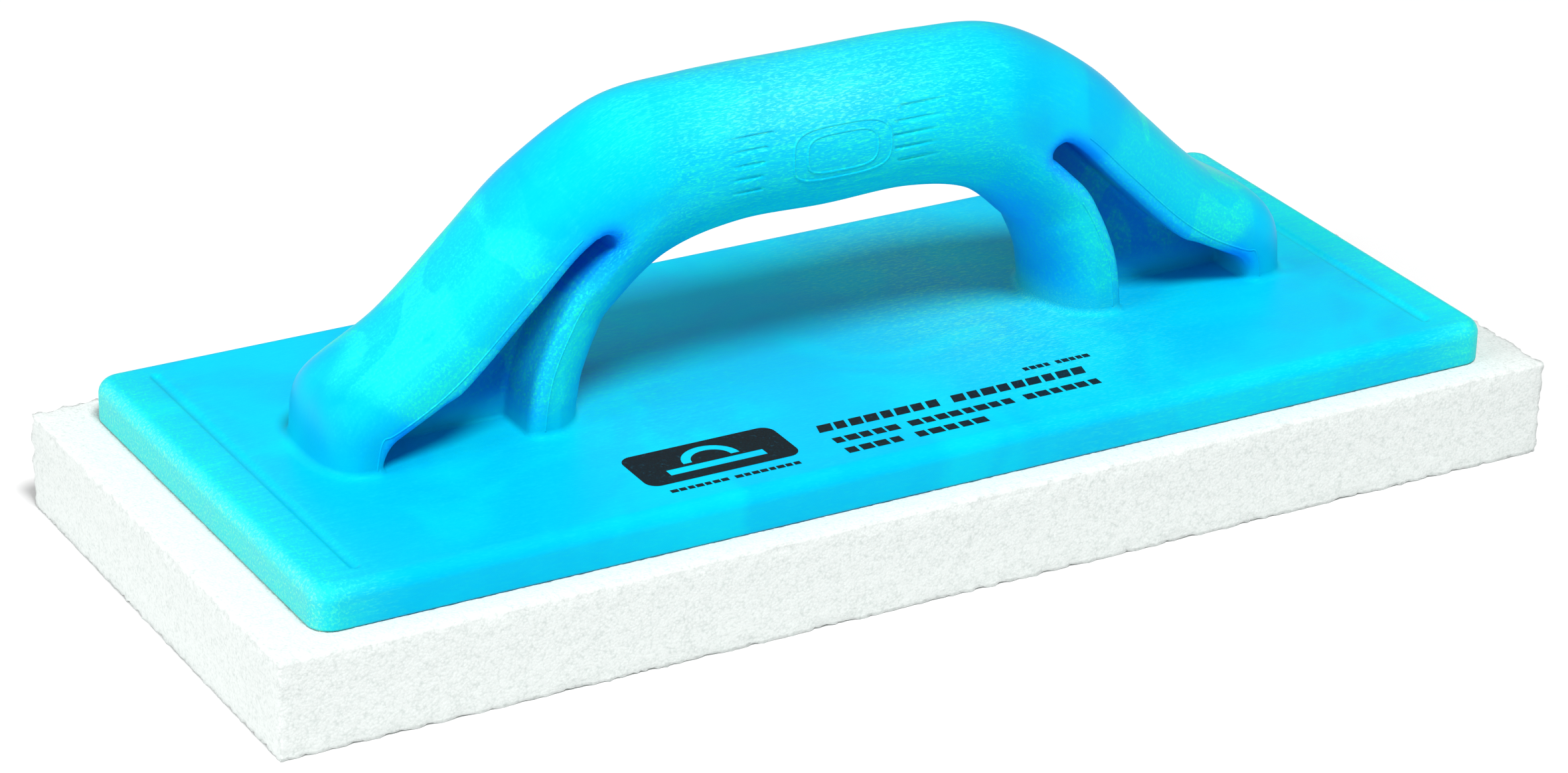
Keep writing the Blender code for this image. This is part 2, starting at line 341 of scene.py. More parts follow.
def swept_line_shape() -> NodeShape:
    """A fine round bead along each path of a mesh of edges.

    Returns:
        The tree, with its radius and its number of sides as inputs.
    """
    shape = NodeShape("swept_line", {
        "Radius": ("NodeSocketFloat", 0.3 * MM),
        "Sides": ("NodeSocketInt", 8),
        "Material": ("NodeSocketMaterial", None),
    })
    path = shape.add("GeometryNodeMeshToCurve", links={0: shape.source["Geometry"]})
    profile = shape.add(
        "GeometryNodeCurvePrimitiveCircle",
        links={"Resolution": shape.source["Sides"], "Radius": shape.source["Radius"]},
    )
    bead = shape.add(
        "GeometryNodeCurveToMesh",
        values={"Fill Caps": True},
        links={"Curve": path.outputs[0], "Profile Curve": profile.outputs[0]},
    )
    smooth = shape.add("GeometryNodeSetShadeSmooth", links={0: bead.outputs[0]})
    shape.close(smooth.outputs[0])
    return shape


def ink_block_shape() -> NodeShape:
    """A small slanted block of ink on each point, as wide and tall as the point says.

    Returns:
        The tree, with its thickness and its slant as inputs.
    """
    shape = NodeShape("ink_blocks", {
        "Thickness": ("NodeSocketFloat", 0.05 * MM),
        "Slant": ("NodeSocketFloat", 0.2),
        "Material": ("NodeSocketMaterial", None),
    })
    block = shape.add("GeometryNodeMeshCube", values={"Size": (1.0, 1.0, 1.0)})
    place = shape.add("GeometryNodeInputPosition")
    apart = shape.add("ShaderNodeSeparateXYZ", links={0: place.outputs[0]})
    lean = shape.add(
        "ShaderNodeMath", settings={"operation": "MULTIPLY"},
        links={0: apart.outputs["Y"], 1: shape.source["Slant"]},
    )
    shift = shape.add("ShaderNodeCombineXYZ", links={"X": lean.outputs[0]})
    slanted = shape.add(
        "GeometryNodeSetPosition", links={"Geometry": block.outputs["Mesh"], "Offset": shift.outputs[0]},
    )
    size = shape.add(
        "GeometryNodeInputNamedAttribute",
        settings={"data_type": "FLOAT_VECTOR"}, values={"Name": "block_size"},
    )
    spread = shape.add(
        "GeometryNodeInstanceOnPoints",
        links={
            "Points": shape.source["Geometry"], "Instance": slanted.outputs[0],
            "Scale": size.outputs[0],
        },
    )
    shape.close(spread.outputs[0])
    return shape


def foam_skin_shape() -> NodeShape:
    """Pushes a fine block's skin in and out like cut open-cell foam, ragged along its edges.

    Returns:
        The tree, with the sizes and depths of cells and tears as inputs.
    """
    shape = NodeShape("foam_skin", {
        "Cell size": ("NodeSocketFloat", 1.4 * MM),
        "Cell depth": ("NodeSocketFloat", 0.35 * MM),
        "Tear size": ("NodeSocketFloat", 3.0 * MM),
        "Tear depth": ("NodeSocketFloat", 2.6 * MM),
        "Material": ("NodeSocketMaterial", None),
    })

    def maths(
        how: str, a: bpy.types.NodeSocket, b: bpy.types.NodeSocket | float,
    ) -> bpy.types.NodeSocket:
        """One step of arithmetic in this tree."""
        return calculate(shape.tree, how, a, b)

    def one_over(name: str) -> bpy.types.NodeSocket:
        """One divided by a named input."""
        node = shape.add(
            "ShaderNodeMath", settings={"operation": "DIVIDE"}, values={0: 1.0},
            links={1: shape.source[name]},
        )
        return node.outputs[0]

    cells = shape.add(
        "ShaderNodeTexVoronoi", settings={"feature": "F1"},
        values={"Randomness": 1.0}, links={"Scale": one_over("Cell size")},
    )
    hollow = maths("SUBTRACT", cells.outputs["Distance"], 0.45)
    depth = maths("MULTIPLY", hollow, shape.source["Cell depth"])
    tears = shape.add(
        "ShaderNodeTexNoise", settings={"noise_dimensions": "3D"},
        values={"Detail": 3.0, "Roughness": 0.65}, links={"Scale": one_over("Tear size")},
    )
    ragged = shape.add(
        "GeometryNodeInputNamedAttribute", settings={"data_type": "FLOAT"}, values={"Name": "edge"},
    )
    tear = maths("SUBTRACT", tears.outputs[0], 0.62)
    tear = maths("MULTIPLY", tear, shape.source["Tear depth"])
    tear = maths("MULTIPLY", tear, ragged.outputs[0])
    out = maths("ADD", maths("MULTIPLY", depth, -1.0), tear)
    normal = shape.add("GeometryNodeInputNormal")
    push = shape.add(
        "ShaderNodeVectorMath", settings={"operation": "SCALE"},
        links={0: normal.outputs[0], "Scale": out},
    )
    moved = shape.add(
        "GeometryNodeSetPosition", links={"Geometry": shape.source["Geometry"], "Offset": push.outputs[0]},
    )
    smooth = shape.add("GeometryNodeSetShadeSmooth", links={0: moved.outputs[0]})
    shape.close(smooth.outputs[0])
    return shape


# ---- finishes ----------------------------------------------------------------------------
def open_material(name: str) -> tuple[bpy.types.Material, bpy.types.NodeTree, bpy.types.Node]:
    """A new material with only a Principled shader in it.

    Args:
        name: The material's name.

    Returns:
        The material, its node tree and the shader.
    """
    material = bpy.data.materials.new(name)
    material.use_nodes = True
    tree = material.node_tree
    return material, tree, tree.nodes["Principled BSDF"]


def mix_colour(
    tree: bpy.types.NodeTree,
    share: bpy.types.NodeSocket,
    first: Colour | bpy.types.NodeSocket,
    second: Colour | bpy.types.NodeSocket,
) -> bpy.types.NodeSocket:
    """Blend two colours, each a fixed one or a socket, and return the result's socket.

    Args:
        tree: The tree that the node joins.
        share: The second colour's share.
        first: The first colour.
        second: The second colour.

    Returns:
        The socket of the blend.
    """
    node = add_node(tree, "ShaderNodeMix", settings={"data_type": "RGBA"}, links={0: share})
    for number, colour in ((6, first), (7, second)):
        if isinstance(colour, tuple):
            node.inputs[number].default_value = colour
        else:
            tree.links.new(colour, node.inputs[number])
    return node.outputs[2]


def remap(
    tree: bpy.types.NodeTree, value: bpy.types.NodeSocket, low: float, high: float,
    out_low: float = 0.0, out_high: float = 1.0,
) -> bpy.types.NodeSocket:
    """Stretch a value's range smoothly to another one and clamp it.

    Args:
        tree: The tree that the node joins.
        value: The value to stretch.
        low: The value that becomes the low end.
        high: The value that becomes the high end.
        out_low: The low end.
        out_high: The high end.

    Returns:
        The socket of the result.
    """
    node = add_node(
        tree, "ShaderNodeMapRange", settings={"interpolation_type": "SMOOTHSTEP"},
        values={"From Min": low, "From Max": high, "To Min": out_low, "To Max": out_high},
        links={"Value": value},
    )
    return node.outputs["Result"]


@dataclass(frozen=True)
class PearlPolymer:
    """Structural-foam polypropylene, injection moulded, blue with a pearl pigment.

    The pigment lies along the flow of the melt, so the eye sees a deep cyan with fine
    silvery dashes in it, which gather into pale fans at the bends and the ends.
    """

    body: str = "#00B5E0"
    light: str = "#00C3E2"
    # deeper blue of the legs and toes, also used as painted shade in the pockets
    azure_and_pocket_shade: str = "#0088FA"
    silver: str = "#22E2CC"
    # pale silver for the frost, also used for a painted highlight on the grip's crown
    frost_and_highlight: str = "#7CE0CE"
    roughness: float = 0.42
    # painted shade: a dark blue mixed into the walls of the handle's pockets
    deep: str = "#0047A0"
    fleck_length: float = 1.3 * MM
    fleck_width: float = 0.32 * MM
    speckle_size: float = 0.6 * MM
    swirl_size: float = 46 * MM
    cloud_size: float = 34 * MM
    grain_size: float = 0.7 * MM

    def make(self) -> bpy.types.Material:
        """Build the material.

        Returns:
            The material.
        """
        material, tree, shader = open_material("pearl_polymer")
        flow, pearl, azure_and_pocket_shade, frost_and_highlight, mottle, deep, veil = (
            add_node(tree, "ShaderNodeAttribute", settings={"attribute_name": name}).outputs[socket]
            for name, socket in (
                ("flow", "Vector"), ("pearl", "Fac"), ("azure_and_pocket_shade", "Fac"), ("frost_and_highlight", "Fac"),
                ("mottle", "Fac"), ("deep", "Fac"), ("veil", "Fac"),
            )
        )
        place = add_node(tree, "ShaderNodeTexCoord").outputs["Object"]
        flecks = self._stretched(tree, flow, self.fleck_length, self.fleck_width, 2.0)
        streaks = self._stretched(tree, flow, 10 * self.fleck_length, 3 * self.fleck_width, 3.0)
        clouds = add_node(
            tree, "ShaderNodeTexNoise",
            values={"Scale": 1 / self.cloud_size, "Detail": 2.0, "Distortion": 1.2},
            links={"Vector": place},
        ).outputs[0]
        body = mix_colour(
            tree, remap(tree, clouds, 0.36, 0.68), hex_colour(self.body), hex_colour(self.light)
        )
        # the legs' deeper pigment blue, and painted shade in the pockets
        body = mix_colour(tree, azure_and_pocket_shade, body, hex_colour(self.azure_and_pocket_shade))
        swirl = add_node(
            tree, "ShaderNodeTexNoise",
            values={"Scale": 1 / self.swirl_size, "Detail": 1.5, "Distortion": 2.2},
            links={"Vector": place},
        ).outputs[0]
        patch = remap(tree, swirl, 0.485, 0.505, -0.5, 0.0)
        patch = calculate(tree, "ADD", calculate(tree, "MULTIPLY", patch, veil), 1.0)
        pearl = calculate(tree, "MULTIPLY", pearl, patch)
        speckle = add_node(
            tree, "ShaderNodeTexNoise",
            values={"Scale": 1 / self.speckle_size, "Detail": 3.0, "Roughness": 0.6},
            links={"Vector": place},
        ).outputs[0]
        flecks = add_node(
            tree, "ShaderNodeMix", links={0: mottle, 2: flecks, 3: speckle},
        ).outputs[0]
        fleck_share = remap(tree, flecks, 0.46, 0.74)
        streak_share = remap(tree, streaks, 0.42, 0.74)
        amount = calculate(tree, "MULTIPLY", mottle, 0.35)
        amount = calculate(tree, "ADD", amount, calculate(tree, "MULTIPLY", streak_share, 0.3))
        amount = calculate(tree, "ADD", amount, calculate(tree, "MULTIPLY", fleck_share, 0.8))
        amount = calculate(tree, "ADD", amount, 0.1)
        silver = calculate(tree, "MINIMUM", calculate(tree, "MULTIPLY", amount, pearl), 1.0)
        colour = mix_colour(tree, silver, body, hex_colour(self.silver))
        # painted shade: a darker blue inside the pockets
        colour = mix_colour(tree, deep, colour, hex_colour(self.deep))
        # silver frost, with a painted highlight on the grip's crown
        amount = calculate(tree, "ADD", calculate(tree, "MULTIPLY", fleck_share, 0.9), 0.2)
        frost_and_highlight_share = calculate(tree, "MINIMUM", calculate(tree, "MULTIPLY", amount, frost_and_highlight), 1.0)
        colour = mix_colour(tree, frost_and_highlight_share, colour, hex_colour(self.frost_and_highlight))
        tree.links.new(colour, shader.inputs["Base Color"])
        rough = remap(tree, clouds, 0.3, 0.7, self.roughness - 0.05, self.roughness + 0.08)
        tree.links.new(rough, shader.inputs["Roughness"])
        texture = add_node(
            tree, "ShaderNodeTexNoise", values={"Scale": 1 / self.grain_size, "Detail": 2.0},
            links={"Vector": place},
        ).outputs[0]
        bump = add_node(
            tree, "ShaderNodeBump", values={"Strength": 0.22, "Distance": 0.12 * MM},
            links={"Height": texture},
        )
        tree.links.new(bump.outputs[0], shader.inputs["Normal"])
        shader.inputs["IOR"].default_value = 1.49
        shader.inputs["Specular IOR Level"].default_value = 0.2
        shader.inputs["Specular Tint"].default_value = hex_colour("#22DDFF")
        return material

    def _stretched(
        self, tree: bpy.types.NodeTree, flow: bpy.types.NodeSocket, length: float, width: float,
        detail: float,
    ) -> bpy.types.NodeSocket:
        """Noise drawn out along the flow to a grain of the given length and width.

        Args:
            tree: The tree that the nodes join.
            flow: The socket of the flow coordinates.
            length: Length of the grain, in metres.
            width: Width of the grain, in metres.
            detail: How much finer grain is mixed in.

        Returns:
            The noise's socket.
        """
        mapping = add_node(
            tree, "ShaderNodeMapping",
            values={"Scale": (1 / length, 1 / width, 1 / width)}, links={"Vector": flow},
        )
        noise = add_node(
            tree, "ShaderNodeTexNoise", values={"Scale": 1.0, "Detail": detail, "Distortion": 0.35},
            links={"Vector": mapping.outputs[0]},
        )
        return noise.outputs[0]


@dataclass(frozen=True)
class HydroSponge:
    """Cast polyurethane hydro sponge, sawn square: soft white, matt, with open cells."""

    white: str = "#DCE1DF"
    shade: str = "#C3CBC8"
    cell: float = 0.62 * MM
    pore: float = 1.3 * MM

    def make(self) -> bpy.types.Material:
        """Build the material.

        Returns:
            The material.
        """
        material, tree, shader = open_material("hydro_sponge")
        place = add_node(tree, "ShaderNodeTexCoord").outputs["Object"]
        cells = add_node(
            tree, "ShaderNodeTexVoronoi", settings={"feature": "F1"},
            values={"Scale": 1 / self.cell}, links={"Vector": place},
        ).outputs["Distance"]
        pores = add_node(
            tree, "ShaderNodeTexNoise",
            values={"Scale": 1 / self.pore, "Detail": 5.0, "Roughness": 0.7},
            links={"Vector": place},
        ).outputs[0]
        dark = calculate(tree, "ADD", calculate(tree, "MULTIPLY", cells, 0.5), pores)
        share = remap(tree, dark, 0.62, 1.24)
        colour = mix_colour(tree, share, hex_colour(self.white), hex_colour(self.shade))
        tree.links.new(colour, shader.inputs["Base Color"])
        shader.inputs["Roughness"].default_value = 0.95
        shader.inputs["Specular IOR Level"].default_value = 0.15
        height = calculate(tree, "SUBTRACT", pores, cells)
        bump = add_node(
            tree, "ShaderNodeBump", values={"Strength": 0.3, "Distance": 0.3 * MM},
            links={"Height": height},
        )
        tree.links.new(bump.outputs[0], shader.inputs["Normal"])
        return material


@dataclass(frozen=True)
class HotMeltFilm:
    """Rolled hot-melt adhesive: a pale, faintly yellow film with roller ripples."""

    colour: str = "#D9D6C4"
    ripple: float = 3.0 * MM

    def make(self) -> bpy.types.Material:
        """Build the material.

        Returns:
            The material.
        """
        material, tree, shader = open_material("hot_melt_film")
        place = add_node(tree, "ShaderNodeTexCoord").outputs["Object"]
        ripples = add_node(
            tree, "ShaderNodeTexWave", values={"Scale": 0.05 / self.ripple, "Distortion": 2.0},
            links={"Vector": place},
        ).outputs["Fac"]
        colour = mix_colour(tree, ripples, hex_colour(self.colour), hex_colour("#C6C2AC"))
        tree.links.new(colour, shader.inputs["Base Color"])
        shader.inputs["Roughness"].default_value = 0.35
        return material


@dataclass(frozen=True)
class PadPrintInk:
    """Pad-printed black ink: a matt black skin with pinholes and slightly worn edges."""

    black: str = "#0B1418"
    worn: str = "#12323E"
    pinhole: float = 0.9 * MM

    def make(self) -> bpy.types.Material:
        """Build the material.

        Returns:
            The material.
        """
        material, tree, shader = open_material("pad_print_ink")
        place = add_node(tree, "ShaderNodeTexCoord").outputs["Object"]
        noise = add_node(
            tree, "ShaderNodeTexNoise", values={"Scale": 1 / self.pinhole, "Detail": 4.0},
            links={"Vector": place},
        ).outputs[0]
        colour = mix_colour(
            tree, remap(tree, noise, 0.58, 0.72), hex_colour(self.black), hex_colour(self.worn)
        )
        tree.links.new(colour, shader.inputs["Base Color"])
        tree.links.new(remap(tree, noise, 0.3, 0.7, 0.42, 0.6), shader.inputs["Roughness"])
        shader.inputs["Specular IOR Level"].default_value = 0.25
        return material


@dataclass(frozen=True)
class StudioPaper:
    """Matt white background paper."""

    white: str = "#F0F0F0"

    def make(self) -> bpy.types.Material:
        """Build the material.

        Returns:
            The material.
        """
        material, _, shader = open_material("studio_paper")
        shader.inputs["Base Color"].default_value = hex_colour(self.white)
        shader.inputs["Roughness"].default_value = 1.0
        shader.inputs["Specular IOR Level"].default_value = 0.0
        return material


# ---- the stage ------------------------------------------------------------------------
@dataclass
class Studio:
    """A pale floor, soft lights and the camera."""

    target: Point = (-3.918 * MM, 1.197 * MM, 23.754 * MM)
    azimuth: float = -30.316
    elevation: float = 25.182
    roll: float = 1.469
    distance: float = 1159.04 * MM
    lens: float = 116.0
    sensor: float = 36.0
    floor_size: float = 12.0
    world_strength: float = 0.25

    def build(self) -> None:
        """Set up the whole stage."""
        self._camera()
        self._floor()
        self._world()
        self._lights()

    def _back(self) -> Vector:
        """Direction from the target to the camera."""
        a, e = math.radians(self.azimuth), math.radians(self.elevation)
        return Vector((math.sin(a) * math.cos(e), -math.cos(a) * math.cos(e), math.sin(e)))

    def _camera(self) -> None:
        """Stand the camera where the float is seen from the front left, above."""
        back = self._back()
        right = (-back).cross(Vector((0, 0, 1))).normalized()
        up = back.cross(right)
        turn = math.radians(self.roll)
        across = right * math.cos(turn) + up * math.sin(turn)
        upward = up * math.cos(turn) - right * math.sin(turn)
        place = Vector(self.target) + back * self.distance
        lens = bpy.data.cameras.new("studio_camera")
        lens.sensor_width = self.sensor
        lens.lens = self.lens
        lens.clip_start = 0.05
        lens.clip_end = 50.0
        camera = bpy.data.objects.new("studio_camera", lens)
        camera.matrix_world = Matrix((
            (across.x, upward.x, back.x, place.x),
            (across.y, upward.y, back.y, place.y),
            (across.z, upward.z, back.z, place.z),
            (0, 0, 0, 1),
        ))
        bpy.context.scene.collection.objects.link(camera)
        bpy.context.scene.camera = camera

    def _floor(self) -> None:
        """A large plain sheet under the sponge."""
        half = self.floor_size / 2
        corners = [(-half, -half, 0.0), (half, -half, 0.0), (half, half, 0.0), (-half, half, 0.0)]
        floor = new_piece("studio_floor", mesh_from_lists("studio_floor", corners, faces=[(0, 1, 2, 3)]))
        floor.data.materials.append(StudioPaper().make())

    def _world(self) -> None:
        """An even white surround."""
        world = bpy.data.worlds.new("studio_world")
        world.use_nodes = True
        background = world.node_tree.nodes["Background"]
        background.inputs["Color"].default_value = hex_colour("#FFFFFF")
        background.inputs["Strength"].default_value = self.world_strength
        bpy.context.scene.world = world
        bpy.context.scene.view_settings.view_transform = "Standard"

    def _lights(self) -> None:
        """A broad key light from above and a softer fill from the front left."""
        for name, place, size, power in (
            ("key_light", (-0.16, -1.16, 2.34), 0.85, 69.0),
            ("fill_light", (-1.7, -0.1, 0.85), 1.1, 19.0),
        ):
            lamp = bpy.data.lights.new(name, "AREA")
            lamp.shape = "DISK"
            lamp.size = size
            lamp.energy = power
            light = bpy.data.objects.new(name, lamp)
            light.location = place
            light.rotation_mode = "QUATERNION"
            aim = Vector((0.0, 0.0, 0.04)) - Vector(place)
            light.rotation_quaternion = aim.to_track_quat("-Z", "Y")
            bpy.context.scene.collection.objects.link(light)


# ---- the moulding's shape -----------------------------------------------------------------
@dataclass
class SideLine:
    """One smooth line of the handle's side view, from the grip's middle down to the board."""

    stations: tuple[tuple[float, float], ...]
    along: float
    rise: float
    base: float
    below: float = 0.016
    steps: int = 36

    def __post_init__(self) -> None:
        """Sample the line once, with a straight run on below the board."""
        last = len(self.stations) - 1
        places = np.linspace(0, last, last * self.steps + 1)
        points = np.array([self._point(place) for place in places])
        deep = np.array([[points[-1, 0], self.base - self.below]])
        self.points = np.vstack([points, deep])
        self.places = np.append(places, last)

    def _point(self, place: float) -> tuple[float, float]:
        """Point on the smooth curve through the stations.

        Args:
            place: Number of the station, and the share of the way to the next one.

        Returns:
            Where that is, along and up.
        """
        line, last = self.stations, len(self.stations) - 1

        def station(index: int) -> tuple[float, float]:
            """A station, mirrored past the middle and run on past the end."""
            if index < 0:
                return -line[-index][0], line[-index][1]
            if index > last:
                return tuple(2 * a - b for a, b in zip(line[last], line[last - 1]))
            return line[index]

        first = min(int(place), last - 1)
        t = place - first
        corners = [station(first + offset) for offset in (-1, 0, 1, 2)]
        weights = (
            -t ** 3 + 2 * t ** 2 - t, 3 * t ** 3 - 5 * t ** 2 + 2,
            -3 * t ** 3 + 4 * t ** 2 + t, t ** 3 - t ** 2,
        )
        x, z = (0.5 * sum(w * c[axis] for w, c in zip(weights, corners)) for axis in (0, 1))
        return x * self.along, self.base + z * self.rise

    def measure(self, x: np.ndarray, z: np.ndarray) -> tuple[np.ndarray, np.ndarray]:
        """Distance from points to the line, positive below and inside it.

        Args:
            x: Places along the float, from its middle.
            z: Heights.

        Returns:
            The signed distances, and the nearest places on the line.
        """
        start, run = self.points[:-1], np.diff(self.points, axis=0)
        square = (run ** 2).sum(1)
        reach, place = np.empty(len(x)), np.empty(len(x))
        for first in range(0, len(x), 20000):
            part = slice(first, first + 20000)
            dx = x[part, None] - start[None, :, 0]
            dz = z[part, None] - start[None, :, 1]
            share = np.clip((dx * run[:, 0] + dz * run[:, 1]) / square, 0.0, 1.0)
            gap = np.hypot(dx - share * run[:, 0], dz - share * run[:, 1])
            best = gap.argmin(1)
            row = np.arange(len(best))
            side = run[best, 0] * dz[row, best] - run[best, 1] * dx[row, best]
            reach[part] = -np.sign(side) * gap[row, best]
            step = self.places[best + 1] - self.places[best]
            place[part] = self.places[best] + share[row, best] * step
        return reach, place


@dataclass
class Groove:
    """A tapered finger groove on the grip's side, deepest at its first end."""

    deep_end: float
    fine_end: float
    height: float
    depth: float = 0.55 * MM
    half_width: float = 0.55 * MM
    taper: float = 0.6          # share of the length over which it grows deep
    blunt: float = 0.06         # share of the length over which its deep end closes

    def cut(self, x: np.ndarray, z: np.ndarray) -> np.ndarray:
        """How far the groove goes in at each point.

        Args:
            x: Places along the float.
            z: Heights.

        Returns:
            The depth at each point, in metres.
        """
        share = (x - self.fine_end) / (self.deep_end - self.fine_end)
        inside = ease(share / self.taper) * ease((1.04 - share) / self.blunt)
        across = np.clip(1.0 - np.abs(z - self.height) / self.half_width, 0.0, 1.0)
        return self.depth * inside * across


@dataclass
class MouldingForm:
    """The board and the bridge handle as one field: negative inside, in metres."""

    length: float
    width: float
    bottom: float
    top: float
    board: float = 10 * MM
    corner: float = 5.5 * MM
    top_fillet: float = 3.5 * MM
    bottom_edge: float = 0.45 * MM
    groove_end: float = 12.5 * MM
    groove_side: float = 7 * MM
    groove_width: float = 2.6 * MM
    groove_depth: float = 0.7 * MM
    toe_end: float = 24.5 * MM
    gap_length: float = 122.6 * MM
    gap_height: float = 36.8 * MM
    grip_height: float = 35.3 * MM
    grip_half_width: float = 17.25 * MM
    strap_half_width: float = 15.7 * MM
    foot_half_width: float = 16.4 * MM
    strap_thickness: float = 17.3 * MM
    toe_thickness: float = 12.5 * MM
    leg_thickness: float = 16.2 * MM
    strap_crown: float = 14.0 * MM
    toe_crown: float = 10.0 * MM
    toe_lip: float = 5.0 * MM
    toe_turn: float = 3.5 * MM
    leg_crown: float = 13.0 * MM
    leg_power: float = 2.05             # squareness of the legs' and the grip's inner side
    web: float = 3.0 * MM
    pocket_end: float = 5.25 * MM
    strap_rim: float = 2.2 * MM
    leg_rim: float = 3.0 * MM
    foot_fillet: float = 1.7 * MM
    pocket_fillet: float = 0.8 * MM
    step: float = 0.5 * MM

    STRAP_END = 5
    OUTER = (
        (0.000, 1.000), (0.239, 0.998), (0.412, 0.963), (0.580, 0.796),
        (0.700, 0.600), (0.828, 0.394), (0.974, 0.216), (1.000, 0.000),
    )
    INNER = (
        (0.000, 1.000), (0.359, 1.008), (0.652, 0.899), (0.856, 0.631),
        (0.912, 0.505), (0.972, 0.288), (0.992, 0.125), (1.000, 0.000),
    )

    def __post_init__(self) -> None:
        """Work out the lines, the pocket's top end and the side-view maps."""
        self.deck = self.bottom + self.board
        rise = self.top - self.deck
        self.outer = SideLine(self.OUTER, self.length / 2 - self.toe_end, rise, self.deck)
        self.inner = SideLine(self.INNER, self.gap_length / 2, self.gap_height, self.deck)
        self.map_x = np.arange(0.0, self.length / 2 + 8 * MM, self.step)
        self.map_z = np.arange(self.bottom - 3 * MM, self.top + 6 * MM, self.step)
        x, z = (a.ravel() for a in np.meshgrid(self.map_x, self.map_z, indexing="ij"))
        shape = (len(self.map_x), len(self.map_z))
        out, out_place = self.outer.measure(x, z)
        into, in_place = self.inner.measure(x, z)
        self.maps = np.stack([a.reshape(shape) for a in (out, out_place, -into, in_place)])
        self.pocket_top = self._find_pocket_top()
        self.strap_foot = self._find_strap_foot()
        self.grooves = self._grip_grooves()

    def _grip_grooves(self) -> list[Groove]:
        """The two groups of finger grooves on each side of the grip.

        Returns:
            All the grooves, left group first.
        """
        left = ((-18.2, -32.0, 95.4), (-19.9, -30.6, 92.5), (-20.9, -30.0, 89.4),
                (-21.6, -30.2, 86.3), (-21.4, -29.6, 83.0))
        right = ((14.6, 29.6, 95.6), (13.4, 27.0, 92.6), (12.2, 25.6, 89.6),
                 (12.8, 25.0, 86.5), (14.2, 25.6, 83.2))
        return [Groove(a * MM, b * MM, z * MM) for a, b, z in (*left, *right)]

    def _find_strap_foot(self) -> tuple[tuple[float, float], tuple[float, float]]:
        """Where the strap's underside begins to run straight to the toe, and which way.

        Returns:
            The point, and a step of length 1 towards the toe, each along and up.
        """
        index = self.STRAP_END * self.outer.steps
        run = self.outer.points[index] - self.outer.points[index - 4]
        run = run / np.hypot(*run)
        foot = self.outer.points[index] + np.array([run[1], -run[0]]) * self.strap_thickness
        corner = np.array([self.outer.along - self.toe_thickness, self.deck + self.toe_lip])
        run = (corner - foot) / np.hypot(*(corner - foot))
        return tuple(foot), tuple(run)

    def _find_pocket_top(self) -> tuple[float, float, float, float, float]:
        """Middle, radius and direction of the pocket's round top end.

        Returns:
            Place along and height of the middle, the radius, and the direction along and up.
        """
        out, _, into, _ = self.maps
        strap = out - self.strap_thickness
        leg = into - self.leg_thickness
        x, z = np.meshgrid(self.map_x, self.map_z, indexing="ij")
        even = np.abs(strap - leg) < 0.5 * self.step
        wide = np.abs((strap + leg) / 2 - self.pocket_end / 2) < 0.5 * self.step
        spots = even & wide & (z > self.deck + 0.3 * (self.top - self.deck))
        middle_x, middle_z = x[spots].mean(), z[spots].mean()
        further = even & (z < middle_z - self.pocket_end) & (z > middle_z - 3 * self.pocket_end)
        away_x = middle_x - x[further].mean()
        away_z = middle_z - z[further].mean()
        size = math.hypot(away_x, away_z)
        return middle_x, middle_z, self.pocket_end / 2, away_x / size, away_z / size

    def side_view(self, x: np.ndarray, z: np.ndarray) -> list[np.ndarray]:
        """The four side-view maps, read between their points.

        Args:
            x: Places along the float, from its middle.
            z: Heights.

        Returns:
            Depth and place against the outer line, then against the inner line.
        """
        u = np.clip((x - self.map_x[0]) / self.step, 0, len(self.map_x) - 1.001)
        v = np.clip((z - self.map_z[0]) / self.step, 0, len(self.map_z) - 1.001)
        i, j = u.astype(int), v.astype(int)
        u, v = u - i, v - j
        return [
            m[i, j] * (1 - u) * (1 - v) + m[i + 1, j] * u * (1 - v)
            + m[i, j + 1] * (1 - u) * v + m[i + 1, j + 1] * u * v
            for m in self.maps
        ]

    @staticmethod
    def _crowned(
        depth: np.ndarray, across: np.ndarray, crown: np.ndarray, half: np.ndarray, power: np.ndarray,
    ) -> np.ndarray:
        """Distance to a face that is crowned like part of a squared-off oval.

        Args:
            depth: Depth under the line, in the middle of the face.
            across: Distance from the middle plane.
            crown: Depth that the crown takes up.
            half: Half the width of the face.
            power: The oval's squareness, 2 for a plain one.

        Returns:
            The signed distance.
        """
        rise = np.maximum(0.0, 1.0 - depth / crown)
        side = across / half
        reach = np.maximum((rise ** power + side ** power) ** (1 / power), 1e-5)
        slope = np.hypot(
            (rise / reach) ** (power - 1) / crown, (side / reach) ** (power - 1) / half
        )
        return (reach - 1.0) / np.maximum(slope, 1.0)

    def half_width(self, place: np.ndarray) -> np.ndarray:
        """Half the handle's width at a place on one of its lines."""
        narrowing = self.strap_half_width - self.grip_half_width
        waist = self.grip_half_width + narrowing * ease((place - 1.8) / 1.9)
        return waist + (self.foot_half_width - self.strap_half_width) * ease((place - 4.2) / 1.6)

    def pocket(self, x: np.ndarray, z: np.ndarray, view: list[np.ndarray]) -> np.ndarray:
        """Side view of the pocket beside the web, negative inside it.

        Args:
            x: Places along the float, from its middle.
            z: Heights.
            view: The side view at those points.

        Returns:
            The signed distance in the side view.
        """
        out, _, into, _ = view
        (foot_x, foot_z), (run_x, run_z) = self.strap_foot
        past = (x - foot_x) * run_x + (z - foot_z) * run_z
        above = (x - foot_x) * -run_z + (z - foot_z) * run_x
        strap = self.strap_thickness - out
        strap = strap + (above - strap) * ease(past / (6 * MM))
        toe = x - (self.outer.along - self.toe_thickness)
        wedge = np.maximum(round_max(strap, toe, self.toe_turn), self.leg_thickness - into)
        middle_x, middle_z, radius, up_x, up_z = self.pocket_top
        dx, dz = x - middle_x, z - middle_z
        cap = np.hypot(dx, dz) - radius
        return np.where(dx * up_x + dz * up_z > 0, np.maximum(wedge, cap), wedge)

